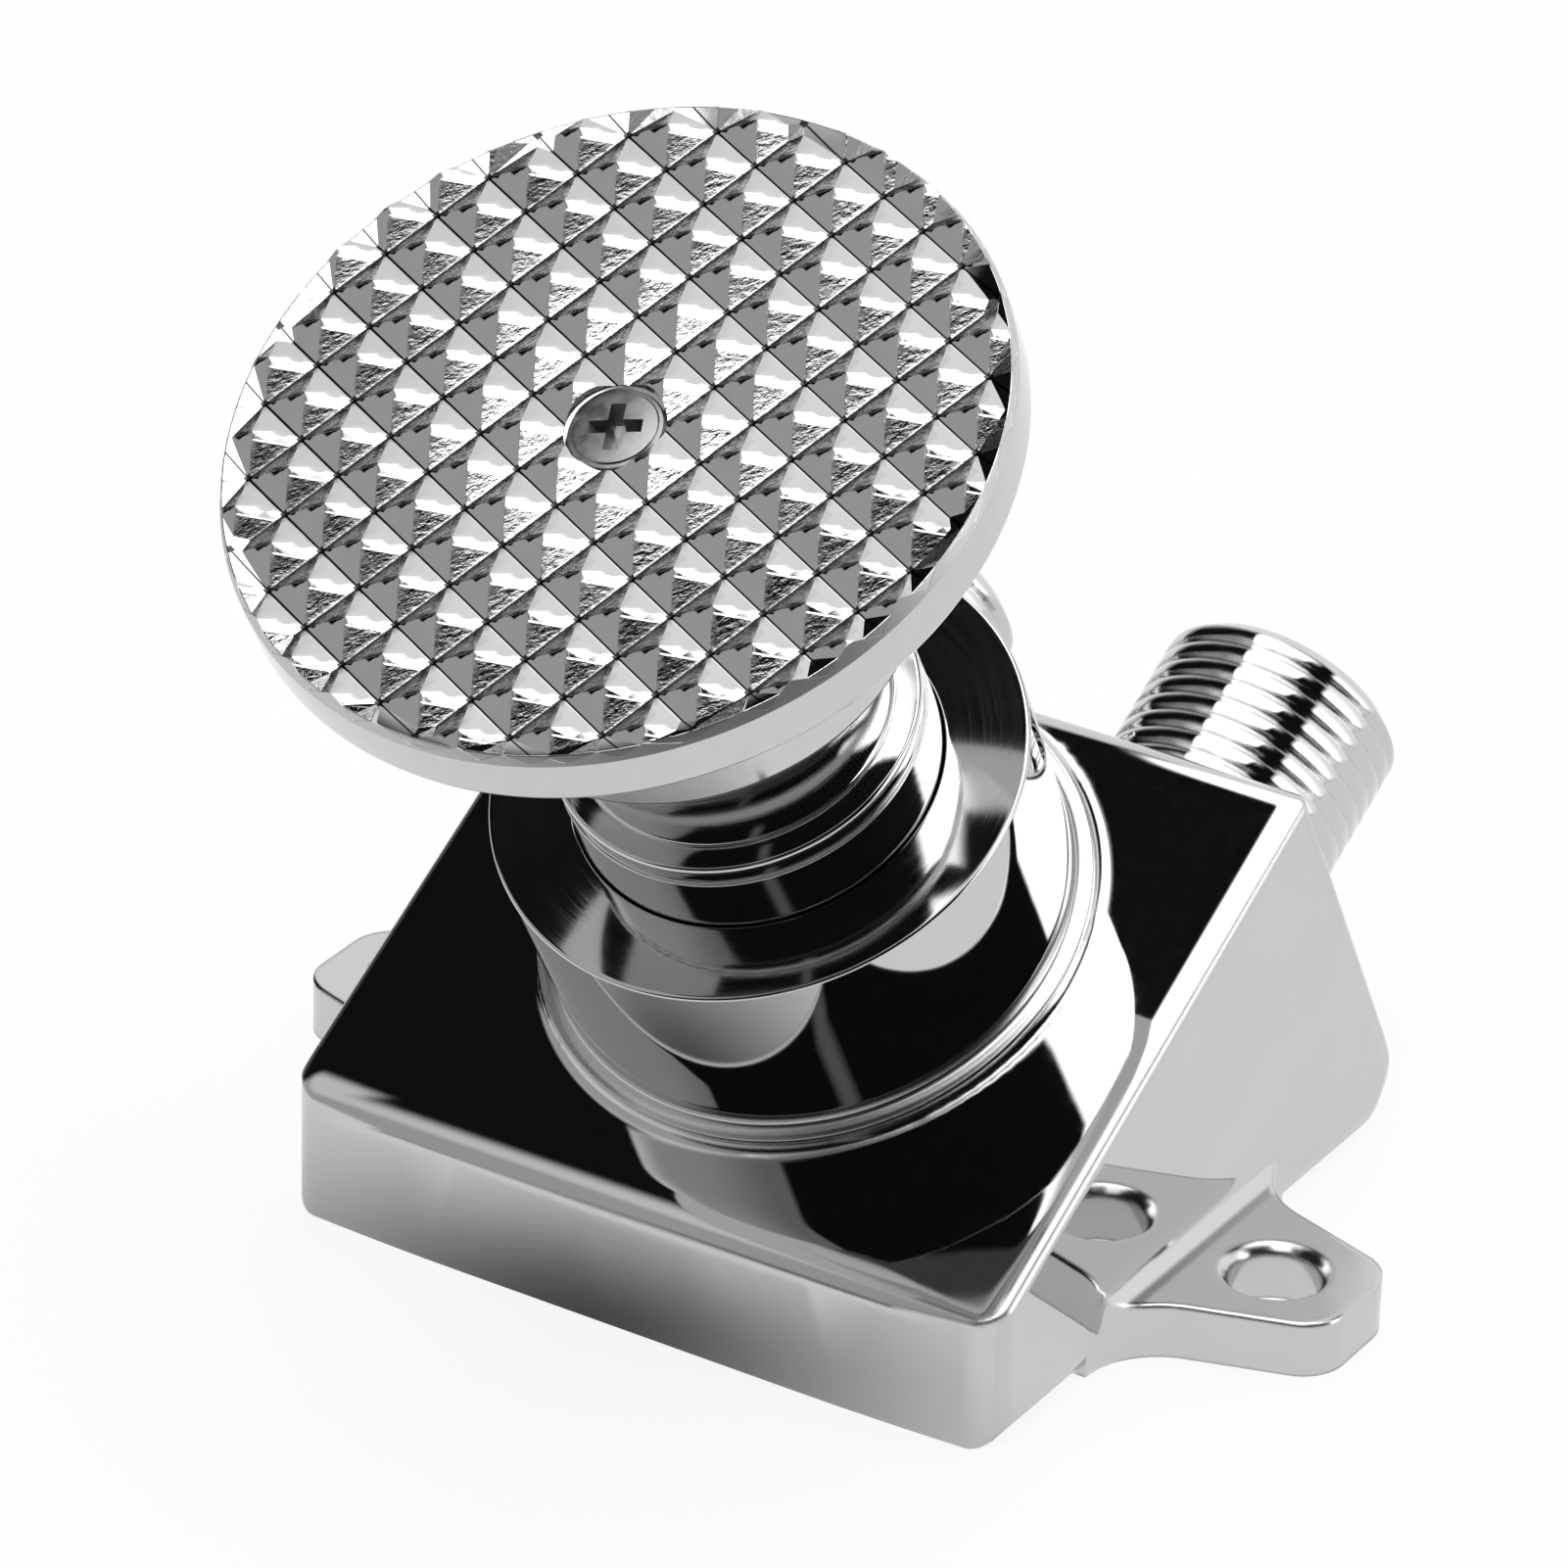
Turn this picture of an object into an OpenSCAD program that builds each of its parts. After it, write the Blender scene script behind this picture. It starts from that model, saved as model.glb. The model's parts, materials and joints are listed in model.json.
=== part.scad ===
// Foot pedal tap valve: a cast wedge bolted to the floor, with a sprung pedal that opens a poppet valve.
// Row frame: origin on the floor midway between the ear holes, +X across, -Y towards the user, +Z up.
// Stem frame: origin where the stem axis leaves the slanted face, +Z out along the stem, +Y up the slope.

/* [Casting] */
// Width of the casting
body_w = 66.6; // [60:0.2:70]
// Tilt of the slanted face, and of the stem, from level
tilt = 29.5; // [26:0.5:32]
// Height above the floor at which the stem axis leaves the slanted face
face_z = 26.2; // [25.5:0.1:32]
// How far behind the ear holes the stem axis leaves the slanted face
face_y = -3.8; // [-6:0.1:2]
// Slanted face from the stem axis to the middle of its front edge
face_front = 30.9; // [28.8:0.1:34]
// Slanted face from the stem axis to its rear edge
face_rear = 24.3; // [23:0.1:28]
// Radius of the heel
heel_r = 7.6; // [4:0.1:10]
// How far the middle of the front bows out
front_bow = 0.9; // [0.2:0.1:1.5]
// Radius of the lower side edges
base_r = 2.4; // [1:0.1:3]
// Radius of the slanted face's front and rear edges
edge_r = 2.5; // [1:0.1:4]
// Width over which the slanted face rolls off at its sides
roll_w = 2.2; // [1:0.1:3]
// Radius of that roll
roll_r = 8.5; // [6:0.5:14]
// Radius of the tight edge between the roll and the side
side_edge_r = 0.8; // [0.4:0.1:0.9]
// Radius of the upright corners
corner_r = 3; // [1:0.1:6]
// Width of the fillet that rises to the bonnet's foot
ring_w = 1; // [0.6:0.1:3]
// Height of the raised ring under the bonnet's foot
ring_h = 0.7; // [0.4:0.1:1.2]

/* [Ears] */
// Distance between the ear holes
ear_span = 82.6; // [80:0.1:92]
// Diameter of the ear holes
ear_hole_d = 7.6; // [6:0.1:9]
// Chamfer round the top of each ear hole
ear_chamfer = 0.7; // [0.3:0.1:1.2]
// Thickness of the ears
ear_t = 4.8; // [4:0.1:8]
// Ear from the middle of its hole to its end
ear_end = 7.8; // [7:0.1:10]
// Width of an ear where it meets the casting
ear_root_w = 20.8; // [18:0.1:24]
// Width of an ear at its end
ear_tip_w = 10.7; // [10:0.1:14]
// Radius of an ear's end corners
ear_corner_r = 4; // [2:0.1:5]
// Radius in plan where an ear meets the casting
ear_root_r = 7.2; // [3:0.1:9]
// Radius between an ear's top and the casting
ear_top_r = 2.2; // [1:0.1:4]

/* [Ports] */
// Distance between the port axes
port_span = 36.6; // [34:0.1:40]
// Middle of the two ports, to the right of the stem axis
port_shift = -1; // [-1.5:0.1:1.5]
// Depth of the port axes under the slanted face
port_depth = 17.9; // [17:0.1:19]
// Outside diameter of the port thread, G 1/2
port_d = 20.955; // [20.955:0.001:20.955]
// Port end from the stem axis, up the slope
port_reach = 42; // [38:0.1:46]
// Diameter of the smooth neck at the root of a port
port_neck_d = 18.6; // [17:0.1:20]
// Length of the smooth neck
port_neck_l = 2; // [1:0.1:3]
// Chamfer on the end of a port
port_chamfer = 1; // [0.4:0.1:1.6]
// Diameter of a port's mouth
port_bore_d = 14.5; // [13:0.1:15.5]
// Diameter of the water passages
passage_d = 10; // [8:0.1:11]
// Diameter of the cross drillings
cross_d = 5; // [4:0.1:5.6]

/* [Bonnet] */
// Diameter of the bonnet's rim
bonnet_d = 43.8; // [42:0.1:45]
// Height of the bonnet's rim over the slanted face
bonnet_top = 19.4; // [19:0.1:24]
// How far the bonnet's wall leans in from its rim to its foot
wall_lean = 0.35; // [0:0.05:0.6]
// Diameter of the bonnet's foot
foot_d = 45.8; // [45.4:0.1:47]
// Height of the edge of the bonnet's foot
foot_h = 0.3; // [0.2:0.1:0.8]
// Diameter of the threaded spigot under the foot
spigot_d = 35; // [34.6:0.1:38]
// Length of the spigot under the slanted face
spigot_l = 4.5; // [4.3:0.1:6]
// Clearance round the piston in the bonnet's mouth
mouth_gap = 0.3; // [0.3:0.1:1]
// Thickness of the gasket in the seam
gasket_t = 0.3; // [0.2:0.1:0.6]

/* [Plunger] */
// Diameter of the piston
piston_d = 29.9; // [28.8:0.1:29.9]
// Step at the top of the piston, over the slanted face
step_z = 26.9; // [26:0.1:30]
// Least diameter of the neck
neck_d = 25.2; // [22:0.1:27]
// Top of the neck, where the plate's boss sits
neck_top = 40.4; // [38:0.1:44]
// Travel of the pedal
stroke = 5; // [3:0.1:5.2]
// Diameter of the spring's pocket
pocket_d = 21; // [20:0.1:22]
// Roof of the spring's pocket
roof_z = 21; // [19:0.1:22]

/* [Pedal] */
// Diameter of the pedal plate
pedal_d = 61.6; // [56:0.2:70]
// Top of the plate's rim, over the slanted face
pedal_z = 63.1; // [58:0.1:70]
// Height of the plate's side
pedal_t = 4.5; // [3:0.1:7]
// Pitch of the tread pyramids
tread_pitch = 5; // [4:0.1:6]
// Height of the tread pyramids
tread_h = 1.25; // [0.6:0.05:1.6]
// Turn of the tread rows from the casting's width
tread_turn = -24; // [-45:1:45]
// Diameter of the boss under the plate
boss_d = 36.6; // [32:0.1:40]
// Diameter of the screw's head
screw_head_d = 7.4; // [6.5:0.1:8]
// Diameter of the screw's thread
screw_d = 4; // [3:0.1:4.4]
// Length of screw thread in the plunger
screw_grip = 8; // [6:0.1:9]

/* [Valve] */
// Diameter of the spindle in the gland
spindle_d = 8; // [7:0.1:8.4]
// Diameter of the spindle in the seat
waist_d = 5.2; // [4.8:0.1:5.6]
// Diameter of the spindle's lower end
tail_d = 4; // [3.6:0.1:4.4]
// Diameter of the upper chamber
chamber_d = 20; // [19.6:0.1:21]
// Diameter of the lower chamber
well_d = 13; // [12.6:0.1:13.4]
// Depth of the lower chamber's floor under the slanted face
well_depth = 24; // [23.8:0.1:24.4]
// Depth of the ledge that carries the seat
ledge_depth = 12.3; // [12:0.1:12.4]
// Diameter of the seat's waterway
seat_bore_d = 7.6; // [6.6:0.1:8]
// Thickness of the seat's flange
seat_t = 2; // [1.5:0.1:2.5]
// Length of the seat's spigot under the ledge
seat_spigot = 1.5; // [1:0.1:1.6]
// Diameter of the valve washer and head
head_d = 11; // [10:0.1:11.4]
// Thickness of the rubber washer
washer_t = 1.8; // [1.4:0.1:1.9]
// Thickness of the valve head
head_t = 1.7; // [1.4:0.1:1.8]
// Thickness of the gland's flange
gland_t = 3.5; // [3:0.1:3.6]
// Wire of the return spring
wire_d = 1.6; // [1.2:0.1:1.8]
// Middle diameter of the return spring
coil_d = 16.6; // [16.2:0.1:17]
// Turns of the return spring
coil_turns = 6.5; // [5:0.5:8]

/* [Hidden] */
$fn = 96;

// Fits between pieces
run_fit = 0.07;
seat_fit = 0.05;
thread_fit = 0.1;
seal_gap = 0.1;
free_gap = 0.3;
// How far a piece is sunk into its own solid so that a union has no seam
sink = 1;
// How far a cut runs past the face that it opens
past = 1;

// Corners of the casting seen from the side, as [y, z]
front_y = face_y - face_front * cos(tilt);
front_h = face_z - face_front * sin(tilt);
rear_top = [face_y + face_rear * cos(tilt), face_z + face_rear * sin(tilt)];
heel = [rear_top[0] + rear_top[1] * tan(tilt), 0];
casting_l = heel[0] - front_y;
foot_edge_r = 0.5;

// Sizes inside that stay as they are
spigot_wall = 2.1;
hub_gap = 0.9;
hub_h = 6;
gland_nose = 1.5;
washer_plate_t = 0.8;
piston_rest = 3.5;
bush_rise = 4;
bush_h = 8;
bush_t = 1.5;
wiper_h = 3;
wiper_cover = 3;
wiper_depth = 1.8;
seat_gasket_t = 0.8;
flange_gap = 0.5;
clip_t = 0.8;
clip_depth = 0.4;
clip_w = 1.4;
tail_over = 0.4;
rod_gap = 0.5;
rod_shoulder = 1;
spindle_grip = 5.5;
spindle_tap_d = 5;
o_ring_r = 0.7;
o_ring_groove = 1.9;
o_ring_land = 1;
rod_seal_low = 1.8;
rod_seal_high = 2.4;
screw_sink = 0.2;
tap_over = 1.5;
inlet_drop = 1.5;

// Levels and radii along the stem
gasket_z = ring_h;
bonnet_foot_z = gasket_z + gasket_t;
gland_z = -spigot_l;
gland_top = gland_z + gland_t;
gland_r = spigot_d / 2 - spigot_wall;
gland_hub_r = coil_d / 2 - wire_d / 2 - hub_gap;
gland_hub_top = gland_top + hub_h;
rod_seal_z = [gland_z + rod_seal_low, gland_top + rod_seal_high];
rod_seal_r = spindle_d / 2 + seal_gap + o_ring_r;
spring_z = gland_top + washer_plate_t;
coil_pitch = (roof_z - spring_z - wire_d - 2 * seat_fit) / coil_turns;
coil_rings = 8;
wire_sides = 6;
piston_z = gland_top + stroke + piston_rest;
piston_seal_z = piston_z + o_ring_land;
bush_z = gland_top + bush_rise;
wiper_z = bonnet_top - wiper_cover - wiper_h;
mouth_d = piston_d + 2 * mouth_gap;
wiper_groove_r = mouth_d / 2 + wiper_depth;
seat_z = -ledge_depth + seat_gasket_t;
seat_flange_r = chamber_d / 2 - flange_gap;
seat_face_z = -ledge_depth - seat_spigot;
head_z = seat_face_z - washer_t - head_t;
clip_r = tail_d / 2 - clip_depth;
tail_z = head_z - clip_t - tail_over;
rod_z = seat_z + seat_t + stroke + rod_gap;
plate_z = pedal_z - pedal_t;
tread_top = pedal_z + tread_h;
screw_head_z = pedal_z - screw_sink;
screw_tip = neck_top - screw_grip;
screw_tap_z = screw_tip - tap_over;

// Vector helpers
function unit(v) = v / norm(v);
function corner_half(a, b, c) = acos(unit(a - b) * unit(c - b)) / 2;
function corner_centre(a, b, c, r) = b + unit(unit(a - b) + unit(c - b)) * r / sin(corner_half(a, b, c));
function corner_touch(a, b, c, r) = b + unit(a - b) * r / tan(corner_half(a, b, c));

// Piece between the corner b of the outline a, b, c and the round of radius r that touches both its sides.
// Taken away it rounds a corner, and added it fills one.
module corner_piece(a, b, c, r) {
    centre = corner_centre(a, b, c, r);
    overlap = 0.2;
    difference() {
        polygon([corner_touch(a, b, c, r), b + (b - centre) * overlap, corner_touch(c, b, a, r)]);
        translate(centre) circle(r);
    }
}

// Stem frame
module on_stem() {
    translate([0, face_y, face_z]) rotate([tilt, 0, 0]) children();
}

// Solid turned about the stem from a half outline of [radius, height]
module turned(outline) {
    rotate_extrude() polygon(outline);
}

module ring(inner_r, outer_r, z, h) {
    turned([[inner_r, z], [outer_r, z], [outer_r, z + h], [inner_r, z + h]]);
}

module o_ring(middle_r, section_r, z) {
    rotate_extrude() translate([middle_r, z]) circle(section_r);
}

// Casting seen from the side, with its edges and heel rounded
module side_outline() {
    bottom = [front_y, 0];
    brow = [front_y, front_h];
    difference() {
        polygon([bottom, heel, rear_top, brow]);
        corner_piece(bottom, heel, rear_top, heel_r);
        corner_piece(heel, rear_top, brow, edge_r);
        corner_piece(rear_top, brow, bottom, edge_r);
        corner_piece(brow, bottom, heel, foot_edge_r);
    }
}

// Rectangle with both corners of its far edge rounded
module round_far(w, near, far, r) {
    far_left = [-w / 2, far];
    far_right = [w / 2, far];
    difference() {
        polygon([[-w / 2, near], [w / 2, near], far_right, far_left]);
        corner_piece([-w / 2, near], far_left, far_right, r);
        corner_piece([w / 2, near], far_right, far_left, r);
    }
}

// Section across the slanted face: its sides roll off gently and then turn a tight edge
module face_section(reach) {
    half = body_w / 2;
    roll_centre = [half - roll_w, -roll_r];
    rise = sqrt(pow(roll_r - side_edge_r, 2) - pow(roll_w - side_edge_r, 2));
    turn_centre = [half - side_edge_r, rise - roll_r];
    turn_start = roll_centre + unit(turn_centre - roll_centre) * roll_r;
    difference() {
        intersection() {
            polygon([[-half, -reach], [half, -reach], [half, past], [-half, past]]);
            round_far(2 * (half - roll_w + roll_r), -reach, 0, roll_r);
        }
        both_sides() difference() {
            polygon([turn_start, [turn_start[0], past], [half + past, past], [half + past, turn_centre[1]],
                [half, turn_centre[1]]]);
            translate(turn_centre) circle(side_edge_r);
        }
    }
}

// Casting in plan, seen from below: straight sides and a bowed front with rounded corners
module plan_outline(reach) {
    half = body_w / 2;
    bow_r = (half * half + front_bow * front_bow) / (2 * front_bow);
    corner = [half, -front_y - front_bow];
    front_side = corner + [-bow_r, half];
    bow_sides = 960;
    difference() {
        intersection() {
            polygon([[-half, -reach], [half, -reach], [half, -front_y], [-half, -front_y]]);
            translate([0, -front_y - bow_r]) circle(bow_r, $fn = bow_sides);
        }
        both_sides() corner_piece([half, -reach], corner, front_side, corner_r);
    }
}

// The casting without its ears, ports and bores
module wedge() {
    reach = 2 * casting_l;
    intersection() {
        rotate([90, 0, 90]) linear_extrude(body_w, center = true) side_outline();
        translate([0, 0, -past]) mirror([0, 1, 0]) linear_extrude(reach) plan_outline(reach);
        rotate([-90, 0, 0]) linear_extrude(2 * reach, center = true) round_far(body_w, -reach, 0, base_r);
        on_stem() {
            intersection() {
                rotate([90, 0, 0]) linear_extrude(2 * reach, center = true) face_section(reach);
                translate([0, 0, -reach]) linear_extrude(2 * reach)
                    round_far(body_w, -reach, face_rear, corner_r);
            }
        }
    }
}

// One ear in plan, on the +X side
module ear_outline() {
    side = body_w / 2;
    tip = ear_span / 2 + ear_end;
    root = [side, ear_root_w / 2];
    end = [tip, ear_tip_w / 2];
    wall = [side, ear_root_w];
    inside = side - base_r - sink;
    spread = corner_touch(wall, root, end, ear_root_r)[1];
    low_root = [root[0], -root[1]];
    low_end = [end[0], -end[1]];
    difference() {
        polygon([
            [inside, -spread], [side, -spread], low_root, low_end, end, root, [side, spread], [inside, spread]
        ]);
        corner_piece(root, end, low_end, ear_corner_r);
        corner_piece(low_root, low_end, end, ear_corner_r);
    }
    corner_piece(end, root, wall, ear_root_r);
    corner_piece(low_end, low_root, [side, -ear_root_w], ear_root_r);
}

module ear() {
    side = body_w / 2;
    tip = ear_span / 2 + ear_end;
    linear_extrude(ear_t) ear_outline();
    intersection() {
        linear_extrude(ear_t + 2 * ear_top_r) ear_outline();
        rotate([90, 0, 0]) linear_extrude(3 * ear_root_w, center = true)
            corner_piece([tip, ear_t], [side, ear_t], [side, 3 * ear_t], ear_top_r);
    }
}

module ear_hole() {
    translate([ear_span / 2, 0, -past]) cylinder(d = ear_hole_d, h = ear_t + 2 * past);
    translate([ear_span / 2, 0, ear_t - ear_chamfer])
        cylinder(d1 = ear_hole_d, d2 = ear_hole_d + 2 * (ear_chamfer + past), h = ear_chamfer + past);
}

// Both sides of what is drawn on the +X side
module both_sides() {
    children();
    mirror([1, 0, 0]) children();
}

// Across from the stem axis to a port's axis: side is -1 for the inlet, on the left, and 1 for the outlet
function port_x(side) = port_shift + side * port_span / 2;

// Places a child on a port's axis in the stem frame, with +Z up the slope
module on_port(side) {
    translate([port_x(side), 0, -port_depth]) rotate([-90, 0, 0]) children();
}

module port(side) {
    thread_z = face_rear + port_neck_l;
    on_port(side) turned([
        [0, face_rear - port_d / 2], [port_neck_d / 2, face_rear - port_d / 2], [port_neck_d / 2, thread_z],
        [port_d / 2, thread_z], [port_d / 2, port_reach - port_chamfer],
        [port_d / 2 - port_chamfer, port_reach], [0, port_reach]
    ]);
}

module port_passage(side) {
    mouth_z = face_rear + port_neck_l;
    on_port(side) {
        translate([0, 0, mouth_z]) cylinder(d = port_bore_d, h = port_reach - mouth_z + past);
        translate([0, 0, -cross_d / 2 - past]) cylinder(d = passage_d, h = mouth_z + cross_d / 2 + 2 * past);
    }
}

// Drilling from the inlet passage, on the left, into the lower chamber
module inlet_drilling() {
    translate([port_x(-1), 0, -port_depth - inlet_drop]) rotate([0, 90, 0])
        cylinder(d = cross_d, h = -port_x(-1));
}

// Sloping drilling from the outlet passage, on the right, into the upper chamber
module outlet_drilling() {
    aim = [chamber_d / 2, -(spigot_l + ledge_depth) / 2];
    run = port_x(1) - aim[0];
    climb = port_depth + aim[1];
    translate([port_x(1), 0, -port_depth]) rotate([0, -atan2(run, climb), 0])
        cylinder(d = cross_d, h = norm([run, climb]) + cross_d);
}

// Concave ring of the casting that rises to the bonnet's foot
module raised_ring() {
    root_r = spigot_d / 2 - sink;
    inner = foot_d / 2;
    ring_r = inner + ring_w;
    sweep_r = (ring_w * ring_w + ring_h * ring_h) / (2 * ring_h);
    rotate_extrude() difference() {
        polygon([[root_r, -sink], [ring_r, -sink], [ring_r, ring_h], [root_r, ring_h]]);
        intersection() {
            translate([ring_r, sweep_r]) circle(sweep_r);
            translate([inner, 0]) square([ring_w + past, ring_h + past]);
        }
    }
}

module valve_body() {
    color("gainsboro") difference() {
        union() {
            wedge();
            both_sides() ear();
            on_stem() {
                raised_ring();
                for (side = [-1, 1]) port(side);
            }
        }
        both_sides() ear_hole();
        on_stem() {
            translate([0, 0, gland_z]) cylinder(d = spigot_d + 2 * thread_fit, h = spigot_l + ring_h + past);
            translate([0, 0, -ledge_depth]) cylinder(d = chamber_d, h = ledge_depth);
            translate([0, 0, -well_depth]) cylinder(d = well_d, h = well_depth);
            for (side = [-1, 1]) port_passage(side);
            inlet_drilling();
            outlet_drilling();
        }
    }
}

module bonnet() {
    bore_r = piston_d / 2 + free_gap;
    bush_r = piston_d / 2 + run_fit + bush_t + seat_fit;
    edge = 0.3;
    foot = [foot_d / 2, bonnet_foot_z + foot_h];
    wall_root = [bonnet_d / 2 - wall_lean, bonnet_foot_z + foot_h];
    wall_top = [bonnet_d / 2, bonnet_top - edge];
    fillet_share = 0.85;
    fillet_r = fillet_share * (foot[0] - wall_root[0]);
    fillet_low = corner_touch(foot, wall_root, wall_top, fillet_r);
    fillet_high = corner_touch(wall_top, wall_root, foot, fillet_r);
    color("silver") on_stem() rotate_extrude() difference() {
        polygon([
            [gland_r + seal_gap, gland_z], [spigot_d / 2, gland_z], [spigot_d / 2, bonnet_foot_z],
            [foot_d / 2, bonnet_foot_z], foot, fillet_low, fillet_high, wall_top,
            [bonnet_d / 2 - edge, bonnet_top],
            [mouth_d / 2 + edge, bonnet_top], [mouth_d / 2, bonnet_top - edge],
            [mouth_d / 2, wiper_z + wiper_h], [wiper_groove_r, wiper_z + wiper_h],
            [wiper_groove_r, wiper_z], [bore_r, wiper_z],
            [bore_r, bush_z + bush_h], [bush_r, bush_z + bush_h], [bush_r, bush_z], [bore_r, bush_z],
            [bore_r, gland_top], [gland_r + seal_gap, gland_top]
        ]);
        translate(corner_centre(foot, wall_root, wall_top, fillet_r)) circle(fillet_r);
    }
}

module bonnet_gasket() {
    color("dimgray") on_stem() ring(spigot_d / 2 + seal_gap, foot_d / 2 - free_gap, gasket_z, gasket_t);
}

module wiper_seal() {
    lip_r = piston_d / 2 + run_fit;
    back_r = wiper_groove_r - seal_gap;
    z = wiper_z + seal_gap;
    h = wiper_h - 2 * seal_gap;
    lip_shares = [0.6, 0.8];
    color("black") on_stem() turned([
        [piston_d / 2 + free_gap, z], [back_r, z], [back_r, z + h], [mouth_d / 2, z + h],
        [lip_r, z + lip_shares[1] * h], [lip_r, z + lip_shares[0] * h]
    ]);
}

module guide_ring() {
    inner_r = piston_d / 2 + run_fit;
    slit = 1;
    color("ivory") on_stem() difference() {
        ring(inner_r, inner_r + bush_t, bush_z + seal_gap, bush_h - 2 * seal_gap);
        translate([inner_r - past, -slit / 2, bush_z]) cube([bush_t + 2 * past, slit, bush_h]);
    }
}

module plunger() {
    groove_z = piston_seal_z;
    groove_r = piston_d / 2 - 2 * o_ring_r - seal_gap;
    flare_w = (boss_d - neck_d) / 2;
    flare_h = neck_top - step_z;
    flare_r = (flare_w * flare_w + flare_h * flare_h) / (2 * flare_w);
    mark_below = 0.7;
    mark_z = step_z - mark_below;
    mark_h = 1.4;
    mark_d = 0.3;
    lead = 0.4;
    color("silver") on_stem() difference() {
        rotate_extrude() difference() {
            polygon([
                [0, piston_z], [piston_d / 2 - lead, piston_z], [piston_d / 2, piston_z + lead],
                [piston_d / 2, groove_z], [groove_r, groove_z],
                [groove_r, groove_z + o_ring_groove], [piston_d / 2, groove_z + o_ring_groove],
                [piston_d / 2, mark_z - mark_h], [piston_d / 2 - mark_d, mark_z - mark_h],
                [piston_d / 2 - mark_d, mark_z], [piston_d / 2, mark_z],
                [piston_d / 2, step_z - lead], [piston_d / 2 - lead, step_z], [boss_d / 2, step_z],
                [boss_d / 2, neck_top], [0, neck_top]
            ]);
            intersection() {
                translate([neck_d / 2 + flare_r, step_z]) circle(flare_r);
                translate([0, step_z]) square([boss_d, neck_top - step_z + past]);
            }
        }
        translate([0, 0, piston_z - past]) cylinder(d = pocket_d, h = roof_z - piston_z + past);
        translate([0, 0, roof_z - past]) cylinder(d = spindle_tap_d, h = spindle_grip + rod_gap + past);
        translate([0, 0, screw_tap_z])
            cylinder(d = screw_d + 2 * seat_fit, h = neck_top - screw_tap_z + past);
    }
}

module plunger_o_ring() {
    color("black") on_stem() o_ring(piston_d / 2 - o_ring_r, o_ring_r, piston_seal_z + o_ring_groove / 2);
}

// Rows of roof-shaped ridges on a thick slab, cut across by the same rows turned square to them
module ridges() {
    count = ceil(pedal_d / tread_pitch / 2) + 1;
    crests = [
        for (i = [-count:count], side = [0, 1])
            [(i + side / 2) * tread_pitch, side == 0 ? tread_top : pedal_z]
    ];
    reach = count * tread_pitch;
    rotate([90, 0, 0]) linear_extrude(2 * reach, center = true)
        polygon(concat([[-reach, plate_z - past]], crests, [[reach + tread_pitch / 2, plate_z - past]]));
}

module pedal_plate() {
    rim_r = pedal_d / 2;
    under_r = 0.6;
    bevel_drop = 0.3;
    bevel_z = pedal_z - bevel_drop;
    bevel_w = tread_h + past;
    head_r = screw_head_d / 2 + seal_gap;
    shank_r = screw_d / 2 + seal_gap;
    color("lightgray") on_stem() difference() {
        union() {
            intersection() {
                turned([
                    [0, plate_z], [rim_r - under_r, plate_z], [rim_r, plate_z + under_r], [rim_r, bevel_z],
                    [rim_r - bevel_w, bevel_z + bevel_w], [0, bevel_z + bevel_w]
                ]);
                rotate([0, 0, tread_turn]) ridges();
                rotate([0, 0, tread_turn + 90]) ridges();
            }
            translate([0, 0, neck_top]) cylinder(d = boss_d, h = pedal_t / 2 + plate_z - neck_top);
        }
        translate([0, 0, neck_top - past]) cylinder(r = shank_r, h = tread_top - neck_top + 2 * past);
        translate([0, 0, screw_head_z - head_r + shank_r])
            cylinder(r1 = shank_r, r2 = head_r, h = head_r - shank_r);
        translate([0, 0, screw_head_z]) cylinder(r = head_r, h = tread_h + past);
    }
}

module pedal_screw() {
    head_r = screw_head_d / 2;
    shank_r = screw_d / 2;
    recess_share = 0.62;
    recess_l = recess_share * screw_head_d;
    recess_w = 0.9;
    recess_h = 1.4;
    dome = 0.5;
    lead = 0.5;
    crown = 0.7;
    color("gray") on_stem() difference() {
        turned([
            [0, screw_tip], [shank_r - lead, screw_tip], [shank_r, screw_tip + lead],
            [shank_r, screw_head_z - head_r + shank_r], [head_r, screw_head_z],
            [crown * head_r, screw_head_z + crown * dome], [0, screw_head_z + dome]
        ]);
        for (turn = [0, 90])
            rotate([0, 0, tread_turn + turn])
                translate([-recess_l / 2, -recess_w / 2, screw_head_z + dome - recess_h])
                    cube([recess_l, recess_w, recess_h + past]);
    }
}

// Points of one round of spring wire at the given turn, in the stem frame
function coil_centre(turn) = [
    cos(360 * turn) * coil_d / 2,
    sin(360 * turn) * coil_d / 2,
    spring_z + wire_d / 2 + seat_fit + turn * coil_pitch
];
function wire_point(turn, side) = let (out = 360 * side / wire_sides) coil_centre(turn)
    + wire_d / 2 * [cos(360 * turn) * cos(out), sin(360 * turn) * cos(out), sin(out)];

module return_spring() {
    last = coil_turns * coil_rings;
    points = [
        for (i = [0:last], side = [0:wire_sides - 1]) wire_point(i / coil_rings, side)
    ];
    skin = [
        for (i = [0:last - 1], side = [0:wire_sides - 1])
            let (a = i * wire_sides + side, b = i * wire_sides + (side + 1) % wire_sides)
            each [[a, b, b + wire_sides], [a, b + wire_sides, a + wire_sides]]
    ];
    caps = [
        for (side = [1:wire_sides - 2])
            let (end = last * wire_sides)
            each [[0, side + 1, side], [end, end + side, end + side + 1]]
    ];
    gaps = [
        for (i = [0:last - coil_rings])
            norm(coil_centre(i / coil_rings + 1) - coil_centre(i / coil_rings)) - wire_d
    ];
    echo(least_gap_between_coils = min(gaps));
    color("darkgray") on_stem() polyhedron(points, concat(skin, caps));
}

module spring_washer() {
    color("silver") on_stem()
        ring(gland_hub_r + seal_gap, pocket_d / 2 - free_gap, gland_top, washer_plate_t);
}

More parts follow.
